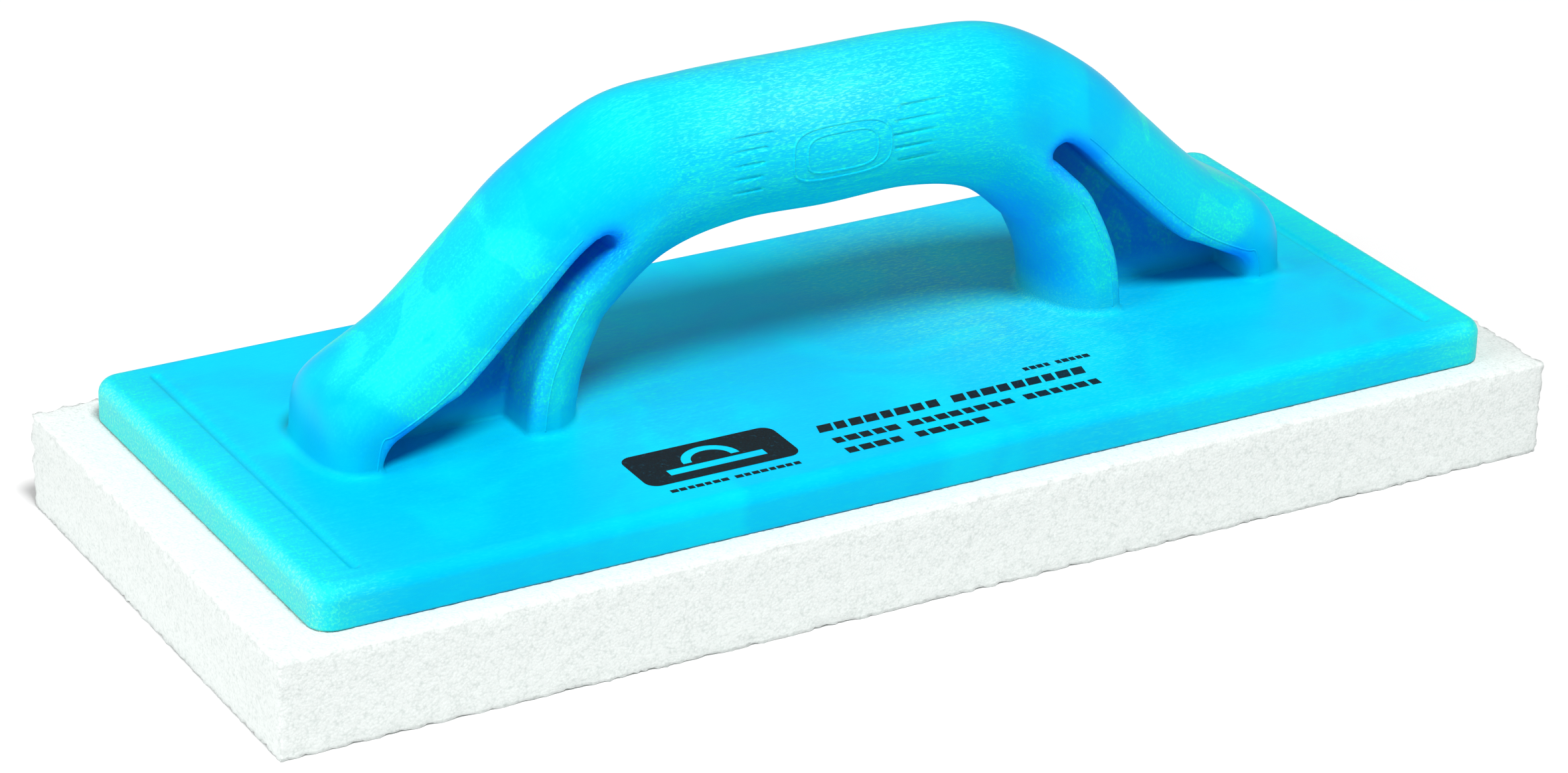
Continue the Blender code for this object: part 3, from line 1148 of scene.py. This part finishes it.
    def handle(self, x: np.ndarray, y: np.ndarray, z: np.ndarray) -> tuple[np.ndarray, np.ndarray]:
        """The handle by itself, run on below the board.

        Args:
            x: Places along the float.
            y: Places across it.
            z: Heights.

        Returns:
            The handle's field, and the side view of its pockets.
        """
        along, across = np.abs(x), np.abs(y)
        view = self.side_view(along, z)
        out, out_place, into, in_place = view
        full = self.grip_height / 2
        strap_crown = full + (self.strap_crown - full) * ramp(out_place, 2, 3)
        strap_crown += (self.toe_crown - self.strap_crown) * ramp(out_place, 5, 2)
        leg_crown = full + (self.leg_crown - full) * ramp(in_place, 2, 3)
        half_out, half_in = self.half_width(out_place), self.half_width(in_place)
        strap_power = 2.0 + 0.5 * ramp(out_place, 2, 2) + 0.2 * ramp(out_place, 4.8, 1.2)
        outer = self._crowned(out, across, strap_crown, half_out, strap_power)
        inner = self._crowned(into, across, leg_crown, half_in, np.full_like(out, self.leg_power))
        solid = np.maximum(outer, inner)
        for groove in self.grooves:
            solid = solid + groove.cut(x, z)
        pocket = self.pocket(along, z, view)
        hollow = round_max(pocket, self.web / 2 - across, 1.2 * MM)
        lean = ease(((self.leg_thickness - into) - (self.strap_thickness - out)) / (6 * MM) + 0.5)
        rim = self.strap_rim + (self.leg_rim - self.strap_rim) * lean
        return round_max(solid, -hollow, rim), pocket

    def slab(self, x: np.ndarray, y: np.ndarray, z: np.ndarray) -> np.ndarray:
        """The board by itself, with its end grooves.

        Args:
            x: Places along the float.
            y: Places across it.
            z: Heights.

        Returns:
            The board's field.
        """
        px = np.abs(x) - (self.length / 2 - self.corner)
        py = np.abs(y) - (self.width / 2 - self.corner)
        plan = np.minimum(np.maximum(px, py), 0) + np.hypot(np.maximum(px, 0), np.maximum(py, 0))
        plan = plan - self.corner
        board = round_max(plan, z - self.deck, self.top_fillet)
        board = round_max(board, self.bottom - z, self.bottom_edge)
        drop = (self.groove_width ** 2 / 4 - self.groove_depth ** 2) / (2 * self.groove_depth)
        reach = self.width / 2 - self.groove_side - self.groove_width / 2
        channel = np.sqrt(
            (np.abs(x) - (self.length / 2 - self.groove_end)) ** 2
            + np.maximum(np.abs(y) - reach, 0) ** 2 + (z - self.deck - drop) ** 2
        ) - (drop + self.groove_depth)
        return round_max(board, -channel, 0.35 * MM)

    def field(self, x: np.ndarray, y: np.ndarray, z: np.ndarray) -> np.ndarray:
        """The whole moulding's field.

        Args:
            x: Places along the float.
            y: Places across it.
            z: Heights.

        Returns:
            The field, negative inside.
        """
        handle, pocket = self.handle(x, y, z)
        sharpening = self.pocket_fillet - self.foot_fillet
        floor = self.foot_fillet + sharpening * ease(0.5 - pocket / (3 * MM))
        return round_min(handle, self.slab(x, y, z), floor)

    def gradient(self, points: np.ndarray, step: float = 0.12 * MM) -> np.ndarray:
        """Slope of the field at each point.

        Args:
            points: The points, one a row.
            step: Half the length over which the slope is measured.

        Returns:
            The slope, one a row.
        """
        slopes = []
        for axis in range(3):
            shift = np.zeros(3)
            shift[axis] = step
            ahead, behind = (points + shift).T, (points - shift).T
            slopes.append((self.field(*ahead) - self.field(*behind)) / (2 * step))
        return np.stack(slopes, axis=1)

    def settle(self, points: np.ndarray, rounds: int = 3) -> np.ndarray:
        """Move points on to the surface along the field's slope.

        Args:
            points: The points, one a row.
            rounds: How often each point is moved.

        Returns:
            The moved points.
        """
        for _ in range(rounds):
            slope = self.gradient(points)
            square = np.maximum((slope ** 2).sum(1), 0.05)
            move = -self.field(*points.T)[:, None] * slope / square[:, None]
            points = points + np.clip(move, -0.6 * MM, 0.6 * MM)
        return points

    def side_point(self, x: np.ndarray, z: np.ndarray, side: float) -> np.ndarray:
        """Points on the handle's side wall at the given places along and up.

        Args:
            x: Places along the float.
            z: Heights.
            side: 1 for the back wall, -1 for the front wall.

        Returns:
            The points, one a row.
        """
        low, high = np.zeros(len(x)), np.full(len(x), 0.03)
        for _ in range(24):
            middle = (low + high) / 2
            inside = self.handle(x, side * middle, z)[0] < 0
            low, high = np.where(inside, middle, low), np.where(inside, high, middle)
        return np.stack([x, side * low, z], axis=1)


@dataclass(frozen=True)
class PigmentAndPaintedLightMap:
    """How much pearl, bare blue and frost shows at each point of the moulding, with painted shade in the
    pockets and a painted highlight on the grip's crown.

    Where a size isn't in metres, it is a station number on the handle's outer or inner line.
    """

    form: MouldingForm
    end_reach: float = 24 * MM          # the pale bands at the board's ends
    rim_reach: float = 5 * MM
    gate_along: float = 46 * MM         # where the melt runs down a leg and fans out
    gate_across: float = 9 * MM
    gate_reach: float = 26 * MM
    grip_end: float = 1.6               # the pearly grip gives way to plain blue
    strap_start: float = 3.5            # the strap turns pearly
    toe_start: float = 5.5              # and the toe plain again
    border: float = 0.3                 # how soft those changes are
    # a painted highlight on the grip's crown, drawn in the frost colour
    shine_place: tuple[float, float] = (-8 * MM, 6 * MM)    # along, and down from the top
    shine_reach: tuple[float, float] = (26 * MM, 6 * MM)

    def amounts(
        self, points: np.ndarray, lift: np.ndarray, view: tuple[np.ndarray, ...], pocket: np.ndarray,
    ) -> dict[str, np.ndarray]:
        """Work out every amount, each from 0 to 1.

        Args:
            points: The points, one a row.
            lift: 0 on the board and 1 on the handle.
            view: The side view at the points.
            pocket: The signed distance to the pockets, in the side view.

        Returns:
            Attribute names to the amounts at each point.
        """
        x, y, z = points.T
        out, out_place, into, _ = view
        end = ramp(np.abs(x), self.form.length / 2 - self.end_reach, self.end_reach + 2 * MM)
        from_gate = np.hypot(np.abs(x) - self.gate_along, y * 0.6 - self.gate_across)
        gate = np.exp(-(from_gate / self.gate_reach) ** 2)
        side = ramp(np.abs(y), self.form.width / 2 - self.rim_reach, self.rim_reach)
        wander = out_place + 0.14 * np.sin(y / (3.2 * MM)) + 0.08 * np.sin(z / (2.1 * MM))
        board = self._board_pearl(x, end, gate, side)
        handle = self._handle_pearl(wander, view)
        strap = ramp(out_place, 2.6, 1.0)
        # painted shade: how far inside a pocket each point lies, which sets the painted pocket shade
        inside = ease((1 * MM - pocket) / (2 * MM))
        inside *= np.abs(y) < self.form.foot_half_width - 1 * MM
        amounts = {
            "pearl": board + (handle - board) * lift,
            "veil": ramp(out_place, 1.2, 0.4) * (into > self.form.leg_thickness) * lift,
            "mottle": np.maximum(strap * lift, end * (1 - lift)),
            # deeper blue: pigment tone on the legs, painted shade in the pockets
            "azure_and_pocket_shade": self._azure_and_pocket_shade(wander, view, pocket) * lift,
            # painted shade inside the pockets
            "deep": 0.55 * lift * inside,
            # silver frost, with a painted highlight on the grip's crown
            "frost_and_highlight": self._frost_and_highlight(points, lift, out, gate, side * end),
        }
        return {name: np.clip(amount, 0, 1) for name, amount in amounts.items()}

    @staticmethod
    def _board_pearl(
        x: np.ndarray, end: np.ndarray, gate: np.ndarray, side: np.ndarray,
    ) -> np.ndarray:
        """Pearl on the board: thin in the middle, thick at the ends and behind the legs.

        Args:
            x: Places along the float.
            end: Nearness to the board's ends.
            gate: Nearness to the place where a leg feeds the board.
            side: Nearness to the board's long sides.

        Returns:
            The amount at each point.
        """
        pearl = 0.12 + 0.80 * end + 0.85 * gate * (x > 0) + 0.45 * gate * (x < 0)
        return pearl + 0.3 * side * ramp(x, 20 * MM, 80 * MM)

    def _handle_pearl(self, wander: np.ndarray, view: tuple[np.ndarray, ...]) -> np.ndarray:
        """Pearl on the handle: thick on the grip and the straps, thin between them.

        Args:
            wander: Station numbers on the outer line, with wavering borders.
            view: The side view at the points.

        Returns:
            The amount at each point.
        """
        out, _, into, in_place = view
        outside = 0.35 + 0.65 * ease((27 * MM - out) / (12 * MM))
        pearl = 0.95 - 0.7 * ramp(wander, self.grip_end, 0.7) * outside
        pearl += (0.92 - pearl) * ramp(wander, self.strap_start, self.border)
        pearl -= 0.75 * ramp(wander, self.toe_start, self.border)
        return pearl * (1 - 0.7 * ease(1 - into / (15 * MM)) * ramp(in_place, 1.5, 1.5))

    def _azure_and_pocket_shade(
        self, wander: np.ndarray, view: tuple[np.ndarray, ...], pocket: np.ndarray,
    ) -> np.ndarray:
        """Bare blue on the handle: painted shade in the pockets, and pigment tone on the legs and a little
        on the toes.

        Args:
            wander: Station numbers on the outer line, with wavering borders.
            view: The side view at the points.
            pocket: The signed distance to the pockets, in the side view.

        Returns:
            The amount at each point.
        """
        _, _, into, in_place = view
        gap_side = ease(1 - into / (13 * MM)) * ramp(in_place, 1.0, 2.0)
        # painted shade: the pockets' walls take the deeper blue
        hollow = ease(1 - pocket / (5 * MM))
        toe = 0.16 * ramp(wander, self.toe_start, self.border)
        bend = 0.10 * ramp(wander, 2.2, 0.4) * (wander < 3.6)
        return np.clip(np.maximum(0.7 * gap_side, hollow) + toe + bend, 0, 1)

    def _frost_and_highlight(
        self, points: np.ndarray, lift: np.ndarray, out: np.ndarray, gate: np.ndarray, rim: np.ndarray,
    ) -> np.ndarray:
        """Silver frost on the end faces, the far corner and behind the right leg, and a painted highlight
        on the grip's crown.

        Args:
            points: The points, one a row.
            lift: 0 on the board and 1 on the handle.
            out: Depth under the handle's outer line.
            gate: Nearness to the place where a leg feeds the board.
            rim: Nearness to the long sides' ends.

        Returns:
            The amount at each point.
        """
        x, y, _ = points.T
        half_length = self.form.length / 2
        face = ramp(np.abs(x), half_length - 3 * MM, 3 * MM)
        corner = ramp(x, half_length - 40 * MM, 60 * MM) * ramp(y, 20 * MM, 50 * MM)
        flat = face + 0.7 * corner + 0.5 * gate * (x > 0)
        # painted highlight on the grip's crown
        along, down = self.shine_place
        shine = np.exp(
            -((x - along) / self.shine_reach[0]) ** 2 - ((out - down) / self.shine_reach[1]) ** 2
        )
        return flat * (1 - lift) + 0.25 * rim + 0.55 * shine * lift


def surface_net(
    xs: np.ndarray, ys: np.ndarray, zs: np.ndarray, values: np.ndarray,
) -> tuple[np.ndarray, np.ndarray]:
    """Wrap quads round the inside of a field that is known on a grid.

    Args:
        xs: Grid lines along X.
        ys: Grid lines along Y.
        zs: Grid lines along Z.
        values: The field at each crossing, negative inside.

    Returns:
        The points and the quads, which face outwards.
    """
    inside = values < 0
    sides = [slice(None, -1), slice(1, None)]
    count = sum(
        inside[a, b, c].astype(np.int8) for a in sides for b in sides for c in sides
    )
    mixed = (count > 0) & (count < 8)
    cell = np.nonzero(mixed)
    number = np.full(mixed.shape, -1)
    number[cell] = np.arange(len(cell[0]))
    total, hits = np.zeros((len(cell[0]), 3)), np.zeros(len(cell[0]))
    lines = (xs, ys, zs)
    for axis in range(3):
        others = [other for other in range(3) if other != axis]
        for first in (0, 1):
            for second in (0, 1):
                start = [index.copy() for index in cell]
                start[others[0]] += first
                start[others[1]] += second
                end = [index.copy() for index in start]
                end[axis] += 1
                a, b = values[tuple(start)], values[tuple(end)]
                crossed = (a < 0) != (b < 0)
                share = np.where(crossed, a / np.where(crossed, a - b, 1.0), 0.0)
                for k in range(3):
                    low, high = lines[k][start[k]], lines[k][end[k]]
                    total[:, k] += np.where(crossed, low + share * (high - low), 0.0)
                hits += crossed
    points = total / hits[:, None]
    quads = []
    for axis in range(3):
        b, c = (axis + 1) % 3, (axis + 2) % 3
        inner = [slice(1, -1)] * 3
        inner[axis] = slice(None, -1)
        ahead = list(inner)
        ahead[axis] = slice(1, None)
        here, there = inside[tuple(inner)], inside[tuple(ahead)]
        for leaving in (True, False):
            spots = np.nonzero(here & ~there if leaving else ~here & there)
            spots = [index + (0 if k == axis else 1) for k, index in enumerate(spots)]
            ring = []
            for back_b, back_c in ((1, 1), (0, 1), (0, 0), (1, 0)):
                corner = [index.copy() for index in spots]
                corner[b] -= back_b
                corner[c] -= back_c
                ring.append(number[tuple(corner)])
            quad = np.stack(ring, axis=1)
            quads.append(quad if leaving else quad[:, ::-1])
    return points, np.vstack(quads)


@dataclass
class Moulding:
    """The board and handle, with the fine raised lines that the mould leaves on them."""

    polymer: bpy.types.Material
    bead: NodeShape
    seam_radius: float = 0.28 * MM
    seam_softness: int = 17
    emblem_radius: float = 0.42 * MM

    def __post_init__(self) -> None:
        """Read the moulding's size from the frame."""
        low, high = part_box("moulded_body")
        self.form = MouldingForm(high[0] - low[0], high[1] - low[1], low[2], high[2])

    def build(self) -> None:
        """Make every piece of the moulding."""
        self._body()
        self._seams()
        self._emblem()

    def _grid(self) -> tuple[np.ndarray, np.ndarray, np.ndarray]:
        """Grid lines: close together on the handle and the fillets, wide on the flats.

        Returns:
            The lines along X, Y and Z.
        """
        form = self.form
        half_x, half_y = form.length / 2, form.width / 2
        xs = both_ways(graded((
            (half_x - 23 * MM, 1.05 * MM), (half_x - 15 * MM, 1.6 * MM), (half_x - 10 * MM, 0.55 * MM),
            (half_x - 6 * MM, 1.3 * MM), (half_x + 1 * MM, 0.7 * MM),
        )))
        ys = both_ways(graded((
            (20 * MM, 1.0 * MM), (half_y - 9.5 * MM, 3.4 * MM), (half_y - 5 * MM, 0.8 * MM),
            (half_y + 1 * MM, 0.7 * MM),
        )))
        zs = graded((
            (form.bottom + 1.0 * MM, 0.35 * MM), (form.deck - 4 * MM, 1.5 * MM),
            (form.deck + 2.5 * MM, 0.5 * MM), (form.deck + 47 * MM, 1.1 * MM),
            (form.deck + 64 * MM, 0.4 * MM), (form.top + 1.5 * MM, 1.0 * MM),
        ), start=form.bottom - 0.7 * MM)
        return xs, ys, zs

    def _body(self) -> None:
        """Wrap the field in a closed skin, with one flat face underneath."""
        form = self.form
        xs, ys, zs = self._grid()
        along, up = np.meshgrid(xs, zs, indexing="ij")
        values = np.empty((len(xs), len(ys), len(zs)))
        for row, y in enumerate(ys):
            level = form.field(along.ravel(), np.full(along.size, y), up.ravel())
            values[:, row, :] = level.reshape(along.shape)
        points, quads = surface_net(xs, ys, zs, values)
        points = form.settle(points)
        points[:, 2] = np.minimum(points[:, 2], form.top)
        flat = points[:, 2] < form.bottom + 0.03 * MM
        points[flat, 2] = form.bottom
        quads = quads[~flat[quads].all(axis=1)]
        mesh = mesh_from_lists("polymer_moulding", points, faces=quads)
        skin = bmesh.new()
        skin.from_mesh(mesh)
        bmesh.ops.delete(skin, geom=[v for v in skin.verts if not v.link_faces], context="VERTS")
        rim = [edge for edge in skin.edges if edge.is_boundary]
        bmesh.ops.contextual_create(skin, geom=rim)
        bmesh.ops.recalc_face_normals(skin, faces=skin.faces)
        skin.to_mesh(mesh)
        skin.free()
        mesh.shade_smooth()
        points = np.empty(len(mesh.vertices) * 3)
        mesh.vertices.foreach_get("co", points)
        points = points.reshape(-1, 3)
        normals = form.gradient(points)
        normals /= np.linalg.norm(normals, axis=1)[:, None]
        self._mark_flow(mesh, points)
        mesh.normals_split_custom_set_from_vertices(normals.tolist())
        mesh.materials.append(self.polymer)
        finish_piece(new_piece("polymer_moulding", mesh), Slot.POLYMER, "moulded_body")

    def _mark_flow(self, mesh: bpy.types.Mesh, points: np.ndarray) -> None:
        """Store how the melt ran at each point, how much pearl pigment lies there, and where shade and a
        highlight are painted.

        Args:
            mesh: The mesh that keeps the values.
            points: Its points, one a row.
        """
        form = self.form
        x, y, z = points.T
        out, out_place, into, in_place = form.side_view(np.abs(x), z)
        lift = ease((z - form.deck - 1 * MM) / (8 * MM))
        arc = np.concatenate([[0], np.hypot(*np.diff(form.outer.points, axis=0).T).cumsum()])
        travel = np.interp(out_place, form.outer.places, arc) * np.sign(x)
        flow = np.stack([x + (travel - x) * lift, y, z + (out - z) * lift], axis=1)
        store_attribute(mesh, "flow", flow)
        pocket = form.pocket(np.abs(x), z, [out, out_place, into, in_place])
        view = (out, out_place, into, in_place)
        for name, amount in PigmentAndPaintedLightMap(form).amounts(points, lift, view, pocket).items():
            store_attribute(mesh, name, amount)

    def _paths(self, name: str, paths: Sequence[np.ndarray], closed: bool = False) -> bpy.types.Mesh:
        """One mesh of edges from several paths.

        Args:
            name: The mesh's name.
            paths: The paths, each with one point a row.
            closed: Whether each path ends where it starts.

        Returns:
            The mesh of edges.
        """
        points, edges = [], []
        for path in paths:
            first = len(points)
            points += path.tolist()
            edges += [(first + k, first + k + 1) for k in range(len(path) - 1)]
            if closed:
                edges.append((first + len(path) - 1, first))
        return mesh_from_lists(name, points, edges)

    def _sweep(
        self, name: str, paths: Sequence[np.ndarray], radius: float, closed: bool = False,
    ) -> None:
        """Run a fine bead along paths that lie on the moulding.

        Args:
            name: The piece's name.
            paths: The paths, each with one point a row.
            radius: The bead's radius, in metres.
            closed: Whether each path ends where it starts.
        """
        mesh = self._paths(name, paths, closed)
        piece = self.bead.run(name, mesh, {"Radius": radius, "Sides": 8, "Material": self.polymer})
        points = np.empty(len(piece.data.vertices) * 3)
        piece.data.vertices.foreach_get("co", points)
        self._mark_flow(piece.data, points.reshape(-1, 3))
        finish_piece(piece, Slot.POLYMER)

    def _seams(self) -> None:
        """The parting line along both sides of each strap and leg."""
        form = self.form
        paths = []
        for line, crown, first, sign in (
            (form.outer, form.strap_crown, 3.0, 1), (form.inner, form.leg_crown, 3.3, -1),
        ):
            keep = (line.places >= first) & (line.points[:, 1] > form.deck)
            points = line.points[keep]
            run = np.gradient(points, axis=0)
            run /= np.linalg.norm(run, axis=1)[:, None]
            places = line.places[keep]
            depth = np.full(len(points), crown)
            if sign > 0:
                depth += (form.toe_crown - crown) * ease((places - 5) / 2)
            x = points[:, 0] + sign * run[:, 1] * depth
            z = points[:, 1] - sign * run[:, 0] * depth
            x, z = smoothed(x, self.seam_softness), smoothed(z, self.seam_softness)
            keep = z > form.deck + 0.6 * MM
            for end in (-1, 1):
                for side in (-1, 1):
                    path = form.side_point(end * x[keep], z[keep], side)
                    path[:, 1] -= side * 0.45 * self.seam_radius
                    paths.append(path[::4])
        self._sweep("parting_seams", paths, self.seam_radius)

    def _emblem(self) -> None:
        """Two plain raised rounded outlines, one inside the other, on each side of the grip."""
        form = self.form
        half_length, half_height = 12.5 * MM, 6.2 * MM
        centre_x, centre_z = -1.0 * MM, 88.4 * MM
        paths = []
        for shrink in (1.0, 0.72):
            turn = np.linspace(0, 2 * math.pi, 65)[:-1]
            cos, sin = np.cos(turn), np.sin(turn)
            x = centre_x + half_length * shrink * np.sign(cos) * np.abs(cos) ** 0.55
            z = centre_z + half_height * shrink * np.sign(sin) * np.abs(sin) ** 0.55
            for side in (-1, 1):
                path = form.side_point(x, z, side)
                path[:, 1] -= side * 0.5 * self.emblem_radius
                paths.append(path)
        self._sweep("grip_emblem", paths, self.emblem_radius, closed=True)


def finish_piece(piece: bpy.types.Object, slot: Slot, *nodes: str) -> bpy.types.Object:
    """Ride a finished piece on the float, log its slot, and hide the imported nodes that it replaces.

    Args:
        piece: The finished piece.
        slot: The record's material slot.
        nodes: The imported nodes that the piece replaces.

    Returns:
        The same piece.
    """
    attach(piece, Body.ROOT.value)
    if nodes:
        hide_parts(*nodes)
    LOG.info("%s: %d faces, %s", piece.name, len(piece.data.polygons), slot.value)
    return piece


# ---- sponge and film ------------------------------------------------------------------
@dataclass
class SpongePad:
    """The sponge block, sawn square, and the film that holds it."""

    sponge: bpy.types.Material
    glue: bpy.types.Material
    foam: NodeShape
    cell_line: float = 1.0 * MM
    edge_reach: float = 1.7 * MM
    hidden_margin: float = 9 * MM
    seam: float = 0.15 * MM

    def __post_init__(self) -> None:
        """Read the places of the pad, the film and the board."""
        self.low, self.high = (Vector(c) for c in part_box("sponge_pad"))
        self.film_low, self.film_high = (Vector(c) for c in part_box("adhesive_film"))
        self.board_low, self.board_high = (Vector(c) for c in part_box("moulded_body"))
        self.roof = self.board_low.z - self.seam

    def build(self) -> None:
        """Make the sponge and the film."""
        self._block()
        self._film()

    def _block(self) -> None:
        """A fine block with the sawn, open-celled skin of foam."""
        counts = [
            round((self.high.x - self.low.x) / self.cell_line),
            round((self.high.y - self.low.y) / self.cell_line),
            round((self.roof - self.low.z) / self.cell_line),
        ]
        corners = (self.low, Vector((self.high.x, self.high.y, self.roof)))
        lines = [np.linspace(corners[0][k], corners[1][k], counts[k] + 1) for k in range(3)]
        skin = bmesh.new()
        made: dict[tuple[int, int, int], bmesh.types.BMVert] = {}

        def vert(i: int, j: int, k: int) -> bmesh.types.BMVert:
            """The point at a crossing of the block's lines, made once."""
            if (i, j, k) not in made:
                made[i, j, k] = skin.verts.new((lines[0][i], lines[1][j], lines[2][k]))
            return made[i, j, k]

        for axis in range(3):
            b, c = (axis + 1) % 3, (axis + 2) % 3
            for level in (0, counts[axis]):
                for m in range(counts[b]):
                    for n in range(counts[c]):
                        ring = []
                        for dm, dn in ((0, 0), (1, 0), (1, 1), (0, 1)):
                            index = [0, 0, 0]
                            index[axis], index[b], index[c] = level, m + dm, n + dn
                            ring.append(tuple(index))
                        if axis == 2 and level and self._hidden(lines, ring):
                            continue
                        quad = [vert(*index) for index in (ring if level else ring[::-1])]
                        skin.faces.new(quad)
        rim = [edge for edge in skin.edges if edge.is_boundary]
        bmesh.ops.contextual_create(skin, geom=rim)
        mesh = bpy.data.meshes.new("sponge_block")
        skin.to_mesh(mesh)
        skin.free()
        points = np.empty(len(mesh.vertices) * 3)
        mesh.vertices.foreach_get("co", points)
        points = points.reshape(-1, 3)
        low = np.array(corners[0])
        high = np.array(corners[1])
        gaps = np.sort(np.minimum(points - low, high - points), axis=1)
        store_attribute(mesh, "edge", np.exp(-(gaps[:, 1] / self.edge_reach) ** 2))
        piece = self.foam.run("sponge_block", mesh, {"Material": self.sponge})
        points = np.empty(len(piece.data.vertices) * 3)
        piece.data.vertices.foreach_get("co", points)
        points[2::3] = np.maximum(points[2::3], self.low.z)
        piece.data.vertices.foreach_set("co", points)
        finish_piece(piece, Slot.SPONGE, "sponge_pad")

    def _hidden(self, lines: list[np.ndarray], ring: list[tuple[int, int, int]]) -> bool:
        """Whether a top quad lies well under the board.

        Args:
            lines: The block's grid lines along each axis.
            ring: The quad's corners, as numbers of lines.

        Returns:
            True where the board covers it with room to spare.
        """
        reach_x = self.board_high.x - self.hidden_margin
        reach_y = self.board_high.y - self.hidden_margin
        return all(abs(lines[0][i]) < reach_x and abs(lines[1][j]) < reach_y for i, j, _ in ring)

    def _film(self) -> None:
        """A thin sheet with a slightly wandering edge, as a hot film sets."""
        half = Vector((self.film_high.x, self.film_high.y))
        top, bottom = self.board_low.z - 0.01 * MM, self.roof + 0.01 * MM
        outline = []
        for side in range(4):
            span = half.x if side % 2 == 0 else half.y
            count = round(2 * span / (2 * MM))
            for step in range(count):
                share = step / count * 2 - 1
                wander = 0.35 * MM * math.sin(step * 0.9 + side) * math.sin(step * 0.23)
                outline.append((
                    (share * half.x, -half.y + 0.4 * MM + wander),
                    (half.x - 0.4 * MM - wander, share * half.y),
                    (-share * half.x, half.y - 0.4 * MM - wander),
                    (-half.x + 0.4 * MM + wander, -share * half.y),
                )[side])
        count = len(outline)
        points = [(x, y, level) for level in (bottom, top) for x, y in outline]
        faces = [(k, (k + 1) % count, count + (k + 1) % count, count + k) for k in range(count)]
        faces += [tuple(reversed(range(count))), tuple(range(count, 2 * count))]
        mesh = mesh_from_lists("glue_film", points, faces=faces)
        mesh.materials.append(self.glue)
        finish_piece(new_piece("glue_film", mesh), Slot.ADHESIVE, "adhesive_film")


# ---- printed marks -----------------------------------------------------------------------
@dataclass
class PrintedMarks:
    """The badge and the caption lines, printed in black on the board."""

    ink: bpy.types.Material
    blocks: NodeShape
    skin: float = 0.05 * MM
    lift: float = 0.015 * MM
    corner: float = 3 * MM

    def __post_init__(self) -> None:
        """Read the level of the board's top from the printed nodes."""
        low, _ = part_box("printed_badge")
        self.level = low[2] - 0.3 * MM + self.lift

    def build(self) -> None:
        """Print everything."""
        self._badge()
        for node, words, slant in (
            ("printed_title", (8, 9), 0.28), ("printed_subtitle", (5, 8, 6), 0.0),
            ("printed_size_line", (4, 5), 0.0), ("printed_code_line", (4, 5), 0.0),
            ("printed_badge_line", (7, 8), 0.0),
        ):
            self._caption(node, words, slant)

    def _badge(self) -> None:
        """A plain badge with a float pictogram left open in it."""
        low, high = (Vector(c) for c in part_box("printed_badge"))
        centre = (low + high) / 2
        half_x, half_y = (high.x - low.x) / 2, (high.y - low.y) / 2
        edge = []
        for corner, (sx, sy) in enumerate(((1, 1), (-1, 1), (-1, -1), (1, -1))):
            for step in range(9):
                angle = math.pi / 2 * (corner + step / 8)
                edge.append((
                    sx * (half_x - self.corner) + self.corner * math.cos(angle),
                    sy * (half_y - self.corner) + self.corner * math.sin(angle),
                ))
        bar = [(-12, -4.4), (12, -4.4), (12, -1.8), (-12, -1.8)]
        arch = []
        for radius_x, radius_z, order in ((7.0, 6.2, range(17)), (4.8, 4.0, range(16, -1, -1))):
            for step in order:
                angle = math.pi * step / 16
                arch.append((radius_x * math.cos(angle), -0.7 + radius_z * math.sin(angle)))
        holes = [[(x * MM, y * MM) for x, y in outline] for outline in (bar, arch)]
        sheet = bmesh.new()
        loops = []
        for outline in (edge, *holes):
            ring = [sheet.verts.new((centre.x + x, centre.y + y, self.level)) for x, y in outline]
            loops += [sheet.edges.new((a, b)) for a, b in zip(ring, ring[1:] + ring[:1])]
        bmesh.ops.triangle_fill(sheet, edges=loops, use_beauty=True)
        for face in sheet.faces:
            if face.normal.z < 0:
                face.normal_flip()
        made = bmesh.ops.extrude_face_region(sheet, geom=list(sheet.faces))["geom"]
        for part in made:
            if isinstance(part, bmesh.types.BMVert):
                part.co.z += self.skin
        bmesh.ops.recalc_face_normals(sheet, faces=sheet.faces)
        mesh = bpy.data.meshes.new("ink_badge")
        sheet.to_mesh(mesh)
        sheet.free()
        mesh.materials.append(self.ink)
        finish_piece(new_piece("ink_badge", mesh), Slot.INK, "printed_badge")

    def _caption(self, node: str, words: tuple[int, ...], slant: float) -> None:
        """One caption line as a row of plain blocks in word-long groups.

        Args:
            node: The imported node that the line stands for.
            words: How many blocks each word has.
            slant: How far the blocks lean over, for a height of 1.
        """
        low, high = (Vector(c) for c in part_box(node))
        height = high.y - low.y
        pitch = (high.x - low.x) / (sum(words) + 0.7 * (len(words) - 1))
        points, sizes = [], []
        start = low.x
        for length in words:
            for letter in range(length):
                wide = pitch * (0.78 + 0.12 * math.sin(letter * 2.4 + length))
                points.append((
                    start + pitch * (letter + 0.5), (low.y + high.y) / 2, self.level + self.skin / 2,
                ))
                sizes.append((wide, height, self.skin))
            start += pitch * (length + 0.7)
        mesh = mesh_from_lists(node, points)
        store_attribute(mesh, "block_size", np.array(sizes))
        name = node.replace("printed", "ink")
        piece = self.blocks.run(name, mesh, {"Slant": slant, "Material": self.ink})
        finish_piece(piece, Slot.INK, node)


def main() -> None:
    """Build the stage and then the float's pieces in order."""
    logging.basicConfig(level=logging.INFO, format="%(name)s: %(message)s")
    Studio().build()
    polymer = PearlPolymer().make()
    Moulding(polymer, swept_line_shape()).build()
    SpongePad(HydroSponge().make(), HotMeltFilm().make(), foam_skin_shape()).build()
    PrintedMarks(PadPrintInk().make(), ink_block_shape()).build()


if __name__ == "__main__":
    main()
